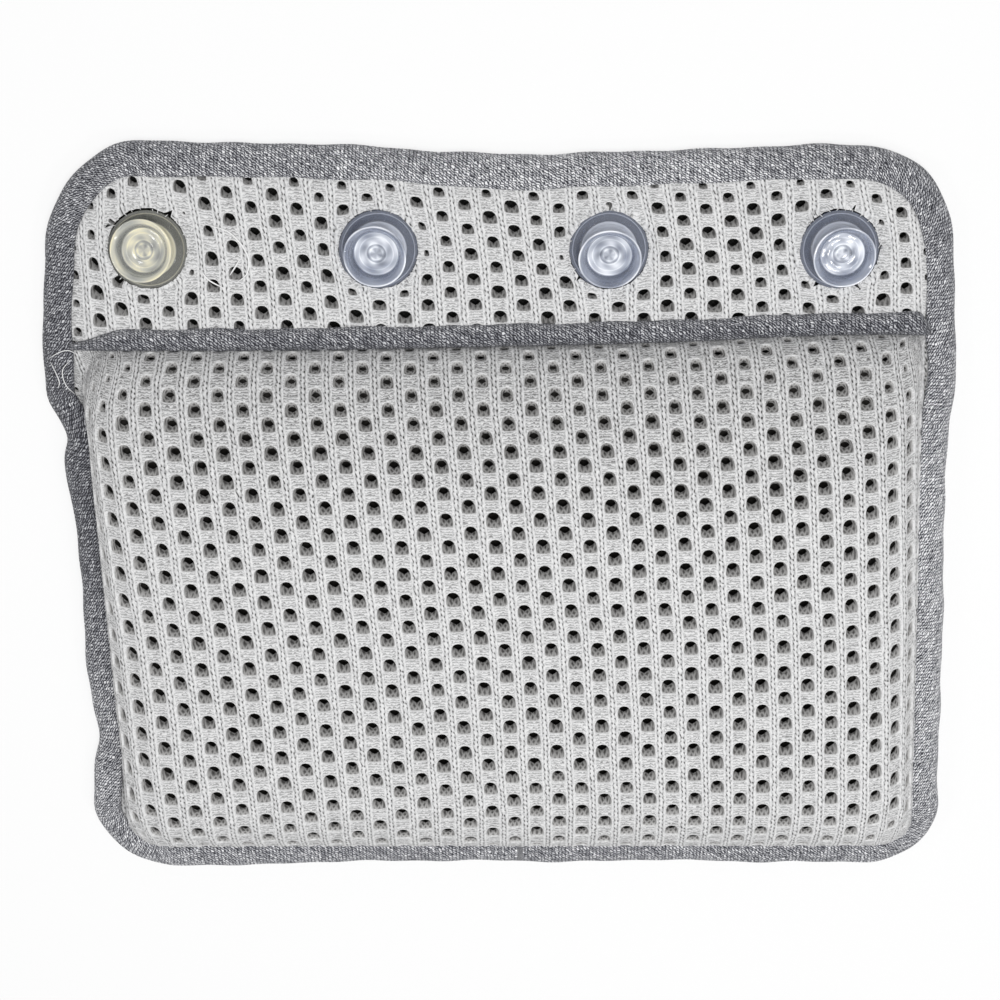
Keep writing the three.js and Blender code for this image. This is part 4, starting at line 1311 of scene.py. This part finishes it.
points = np.stack([plan_x, plan_y, ripple * (1 - tucked) + BACK_TUCKED_Z * tucked], 1)
both_sides = np.concatenate([points, points + np.array([0, 0, BACK_THICKNESS])])
back_faces = np.concatenate([faces[:, ::-1], faces + len(points)])
back = make_piece("back_cloth", both_sides, back_faces, weave_material)
reshape(back, lambda shape: bmesh.ops.bridge_loops(shape, edges=open_edges(shape)))
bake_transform(back)
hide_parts("cushion_back", "flap_back")

# %% [markdown]
# ## Clear vinyl
# Suction cups are moulded in soft clear PVC. It has an IOR of about 1.53 and a faint blue cast from
# the dye that hides yellowing. One cup has aged and gone ivory. The flanges are thick mouldings, and
# look slate grey. Thin walls look clear, and thick or folded places look milky, so each point of a
# moulding carries its own haze, which takes light from the clear part of the material and gives it
# to plain scatter. The haze also carries painted refraction: thin milky rings in the dish and arcs of
# haze round each cup stand in for the bright and dark rings that clear vinyl shows.

# %% Material: soft vinyl
VINYL_IOR = 1.53
MILKY_POWER = 2.2


def soft_vinyl(name, clear_tint, milky_tint):
    """Moulded soft PVC: glossy, clear where it is thin and milky where it is thick."""
    material, tree, shader = new_material(name)
    haze = add_node(tree, "Attribute", attribute_name="haze").outputs["Fac"]
    clarity = add_node(tree, "Math", {0: 1.0, 1: haze}, operation="SUBTRACT")
    milky = add_node(tree, "Math", {0: haze, 1: MILKY_POWER}, operation="POWER")
    colour = add_node(tree, "Mix", {"Factor": milky, 6: linear(clear_tint), 7: linear(milky_tint)},
                      data_type="RGBA")
    set_inputs(tree, shader, {"Base Color": colour.outputs[2], "Transmission Weight": clarity,
                              "Roughness": 0.1, "IOR": VINYL_IOR})
    return material


clear_vinyl = soft_vinyl("moulded_clear_vinyl", "c3cbdd", "f3f6fc")
thick_clear_vinyl = soft_vinyl("thick_clear_vinyl", "8d95aa", "eef2fb")
thick_aged_vinyl = soft_vinyl("thick_aged_vinyl", "9c9e9b", "efe9cf")
aged_vinyl = soft_vinyl("moulded_aged_vinyl", "d9dcdc", "f0e9ca")
print("made 4 vinyls")

# %% [markdown]
# ## Suction cups
# A cup is a turned form: a thin flared dish on a soft neck that a flange traps. A profile of a few
# points, with its corners rounded, is spun about the neck. Soft necks never stand straight, so each
# cup leans a little, as in the photograph. The flange is dished, and its bore is wide, so that a
# leaning cup clears it when it tilts as far as it goes.

# %% Tools for turned mouldings
ROUND_STEPS, ROUND_LIMIT = 4, 0.45
TURN_STEPS = 96
RIPPLE_LOBES, RIPPLE_REACH = (2, 3, 5, 8), (3.4, 8.0)
# Each pair is a count of lobes round a moulding and a pace along its radius in millimetres: arcs of haze that
# paint the bright and dark arcs of refraction.
PAINTED_REFRACTION_ARCS = (1, 2.2), (2, 1.6), (3, 1.1), (5, -0.9)
SAME_POINT = 0.002


def rounded(profile, radius):
    """A profile of (radius, height, haze) whose inner corners are rounded off."""
    profile = np.array(profile, float)
    points = [profile[0]]
    for before, corner, after in zip(profile, profile[1:], profile[2:]):
        share_in = min(ROUND_LIMIT, radius / np.linalg.norm((before - corner)[:2]))
        share_out = min(ROUND_LIMIT, radius / np.linalg.norm((after - corner)[:2]))
        start = corner + (before - corner) * share_in
        end = corner + (after - corner) * share_out
        for t in np.linspace(0, 1, ROUND_STEPS + 1):
            points.append(start * (1 - t) ** 2 + 2 * corner * t * (1 - t) + end * t ** 2)
    return np.array(points + [profile[-1]])


def turned_piece(name, profile, middle, material, lean=(0, 0), ripple=0.0, painted_refraction=0.0):
    """Spins a profile about an upright axis through middle, then leans it about that point."""
    angles = np.linspace(0, 2 * math.pi, TURN_STEPS, endpoint=False)[:, None]
    radius, height, haze = profile.T[:, None]
    waves = [np.sin(lobes * angles + rng.uniform(0, 2 * math.pi)) / lobes ** 0.5 for lobes in RIPPLE_LOBES]
    height = height + ripple * sum(waves) * smooth_step(*RIPPLE_REACH, radius)
    points = np.stack([radius * np.cos(angles), radius * np.sin(angles), height - middle[2]], 2)
    turn = Matrix.Rotation(math.radians(lean[0]), 3, "X") @ Matrix.Rotation(math.radians(lean[1]), 3, "Y")
    points = points.reshape(-1, 3) @ np.array(turn).T + np.array(middle)
    # Painted refraction: the haze swings in arcs round the moulding.
    arcs = [np.sin(lobes * angles + radius / pace + rng.uniform(0, 2 * math.pi))
            for lobes, pace in PAINTED_REFRACTION_ARCS]
    haze_with_painted_refraction = np.clip(haze * (1 + painted_refraction * sum(arcs) / 2), 0, 1)
    hazes = np.repeat(haze_with_painted_refraction.reshape(-1, 1), 3, 1)
    piece = make_piece(name, points, strip_faces(TURN_STEPS, len(profile), True), material, {"haze": hazes})
    reshape(piece, lambda shape: bmesh.ops.remove_doubles(shape, verts=shape.verts, dist=SAME_POINT * MM))
    return piece


# %% Profiles of cup and flange
cup_low, cup_high = node_box("suction_cup_1")
flange_low, flange_high = node_box("cup_flange_1")
RIM_Z = cup_high[2]
CUP_RADIUS = (cup_high[0] - cup_low[0]) / 2
FLANGE_RADIUS = (flange_high[0] - flange_low[0]) / 2
FLANGE_Z = MESH_Z - 0.3
HEAD_Z, HEAD_TOP_Z, HEAD_RADIUS, NECK_RADIUS = 4.5, 5.6, 4.9, 3.2
BORE_RADIUS, HEAD_ROOM_RADIUS, SOCKET_RADIUS = 4.6, 6.4, 7.2
BRIM = 1.6
THIN, SOME, MILKY, RIM = 0.14, 0.36, 0.66, 0.9
AGED_BAND = 0.72
CUP_ROUNDING, FLANGE_ROUNDING = 0.3, 0.2


def cup_profile(band):
    """Outside of head, neck and dish, then the hollow from the rim in. Band is the haze beside the rim."""
    outside = [
        (0, HEAD_Z, SOME), (HEAD_RADIUS, HEAD_Z, SOME), (HEAD_RADIUS, HEAD_TOP_Z, SOME),
        (NECK_RADIUS, HEAD_TOP_Z, SOME), (NECK_RADIUS, 11.2, SOME), (5.6, 12.6, THIN), (8.0, 13.0, THIN),
        (11.2, 15.4, THIN), (CUP_RADIUS, RIM_Z - 0.4, SOME)]
    rim = [
        (CUP_RADIUS - 0.05, RIM_Z - 0.1, RIM), (CUP_RADIUS - 0.45, RIM_Z, RIM),
        (CUP_RADIUS - 0.8, RIM_Z - 0.1, band), (CUP_RADIUS - 1.8, RIM_Z - 0.8, band)]
    # In the dish, thin RIM rings at 8.6, 6.8, 4.0 and 2.5 mm and a clearer ring at 3.6 mm are painted
    # refraction: bright and dark rings drawn into the vinyl's haze.
    hollow = [
        (10.1, 16.4, SOME), (9.5, 15.2, THIN), (9.0, 14.3, THIN), (8.6, 14.0, RIM), (8.2, 13.9, MILKY),
        (7.1, 13.85, MILKY), (6.8, 13.95, RIM), (6.5, 13.82, MILKY), (5.4, 13.75, MILKY), (4.6, 13.8, MILKY),
        (4.0, 13.9, RIM), (3.6, 13.7, SOME), (3.0, 13.75, MILKY), (2.5, 13.92, RIM), (2.2, 13.82, MILKY),
        (0, 13.9, MILKY)]
    return rounded(outside + rim + hollow, CUP_ROUNDING)


def flange_profile():
    """Socket, brim and dished seat, then the bore and the room for the head under it."""
    # The RIM ring at 14.4 mm paints a thin bright line round the flange: a painted highlight.
    brim = [
        (HEAD_ROOM_RADIUS, BACK_Z, SOME), (SOCKET_RADIUS, BACK_Z, SOME),
        (SOCKET_RADIUS, FLANGE_Z - BRIM, SOME), (FLANGE_RADIUS, FLANGE_Z - BRIM, SOME),
        (FLANGE_RADIUS, FLANGE_Z, SOME), (14.7, FLANGE_Z + 0.1, SOME), (14.4, FLANGE_Z + 0.05, RIM),
        (14.1, FLANGE_Z - 0.25, SOME), (11.7, FLANGE_Z - 0.25, SOME)]
    seat = [
        (11.4, FLANGE_Z - 0.05, SOME), (11.1, FLANGE_Z, RIM), (10.4, FLANGE_Z - 0.1, RIM),
        (9.8, FLANGE_Z - 0.45, RIM), (8.2, FLANGE_Z - 0.5, RIM), (6.6, FLANGE_Z - 0.1, RIM)]
    bore = [
        (BORE_RADIUS, FLANGE_Z - 0.1, SOME), (BORE_RADIUS, FLANGE_Z - 1.05, SOME),
        (HEAD_ROOM_RADIUS, FLANGE_Z - 1.05, SOME), (HEAD_ROOM_RADIUS, BACK_Z, SOME)]
    return rounded(brim + seat + bore, FLANGE_ROUNDING)


print("cup", 2 * CUP_RADIUS, "mm across, flange", 2 * FLANGE_RADIUS, "mm across")

# %% Suction cups, flanges and washers
CUP_RIPPLE = 0.13
CUP_PAINTED_REFRACTION = 0.3
CUP_LEANS = [(-7, -8), (7, -6), (14, 0), (9, 4)]
for number, (middle, lean) in enumerate(zip(CUP_PLACES, CUP_LEANS), 1):
    aged = number == 1
    finish = aged_vinyl if aged else clear_vinyl
    profile = cup_profile(AGED_BAND if aged else SOME)
    cup = turned_piece(f"vinyl_cup_{number}", profile, middle, finish, lean, CUP_RIPPLE, CUP_PAINTED_REFRACTION)
    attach(cup, f"cup_{number}")
    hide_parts(f"suction_cup_{number}")
    thick_finish = thick_aged_vinyl if aged else thick_clear_vinyl
    flange = turned_piece(f"vinyl_flange_{number}", flange_profile(), middle, thick_finish)
    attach(flange, "flap")
    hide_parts(f"cup_flange_{number}")
    frame["nodes"][f"cup_washer_{number}"].data.materials[0] = clear_vinyl

# %% [markdown]
# ## Floor and light
# The photograph is lit evenly from above on a white ground. A large soft lamp nearly overhead gives
# the knit its relief, and it is kept out of mirror-like reflections, because it would glare in the
# flat flanges. Two small lamps at the sides put glints on the vinyl, and a white world fills in. The
# floor lets most of a camera ray through to the white behind it, and its plain part still takes the
# soft shadow.

# %% Floor
FLOOR_HALF = 1500.0
FLOOR_Z = -0.4
SEEN_THROUGH = 0.8


def pale_floor():
    """Matt white paper, most of which a camera ray passes through."""
    material = bpy.data.materials.new("pale_paper_floor")
    material.use_nodes = True
    tree = material.node_tree
    tree.nodes.clear()
    ray = add_node(tree, "LightPath")
    seen = add_node(tree, "Math", {0: ray.outputs["Is Camera Ray"], 1: SEEN_THROUGH}, operation="MULTIPLY")
    paper = add_node(tree, "BsdfDiffuse", {"Color": linear("f7f7f7")})
    clear = add_node(tree, "BsdfTransparent")
    mixed = add_node(tree, "MixShader", {0: seen, 1: paper, 2: clear})
    add_node(tree, "OutputMaterial", {0: mixed})
    return material


corner_signs = ((-1, -1), (1, -1), (1, 1), (-1, 1))
corners = [(across * FLOOR_HALF, up * FLOOR_HALF, FLOOR_Z) for across, up in corner_signs]
floor = make_piece("floor", corners, [(0, 1, 2, 3)], pale_floor())

# %% White world
AMBIENT = 0.37
WHITE = (1, 1, 1, 1)
world = bpy.data.worlds.new("white_studio")
bpy.context.scene.world = world
world.use_nodes = True
tree = world.node_tree
tree.nodes.clear()
ray = add_node(tree, "LightPath").outputs
seen = add_node(tree, "Math", {0: ray["Is Camera Ray"], 1: ray["Is Glossy Ray"]}, operation="MAXIMUM")
direct = add_node(tree, "Math", {0: seen, 1: ray["Is Transmission Ray"]}, operation="MAXIMUM")
ambient = add_node(tree, "Background", {"Color": WHITE, "Strength": AMBIENT})
white = add_node(tree, "Background", {"Color": WHITE, "Strength": 1.0})
mixed = add_node(tree, "MixShader", {0: direct, 1: ambient, 2: white})
add_node(tree, "OutputWorld", {0: mixed})
print("world lights the object at", AMBIENT)


# %% Lamps
def soft_lamp(name, place, size, power, mirrored=True):
    """A round lamp that shines at the origin. Its place and size are in metres, and its power in watts."""
    data = bpy.data.lights.new(name, "AREA")
    data.shape = "DISK"
    data.size = size
    data.energy = power
    lamp = bpy.data.objects.new(name, data)
    lamp.location = place
    lamp.visible_transmission = False
    lamp.visible_glossy = mirrored
    lamp.rotation_euler = Vector(place).to_track_quat("Z", "Y").to_euler()
    bpy.context.scene.collection.objects.link(lamp)
    print(name, power, "W")


soft_lamp("soft_box", (0.15, 0.1, 1.2), size=0.6, power=8.3, mirrored=False)
soft_lamp("left_lamp", (-0.75, 0.0, 0.85), size=0.16, power=1.1)
soft_lamp("right_lamp", (0.55, -0.5, 0.9), size=0.16, power=1.6)
bpy.context.scene.view_settings.view_transform = "Standard"
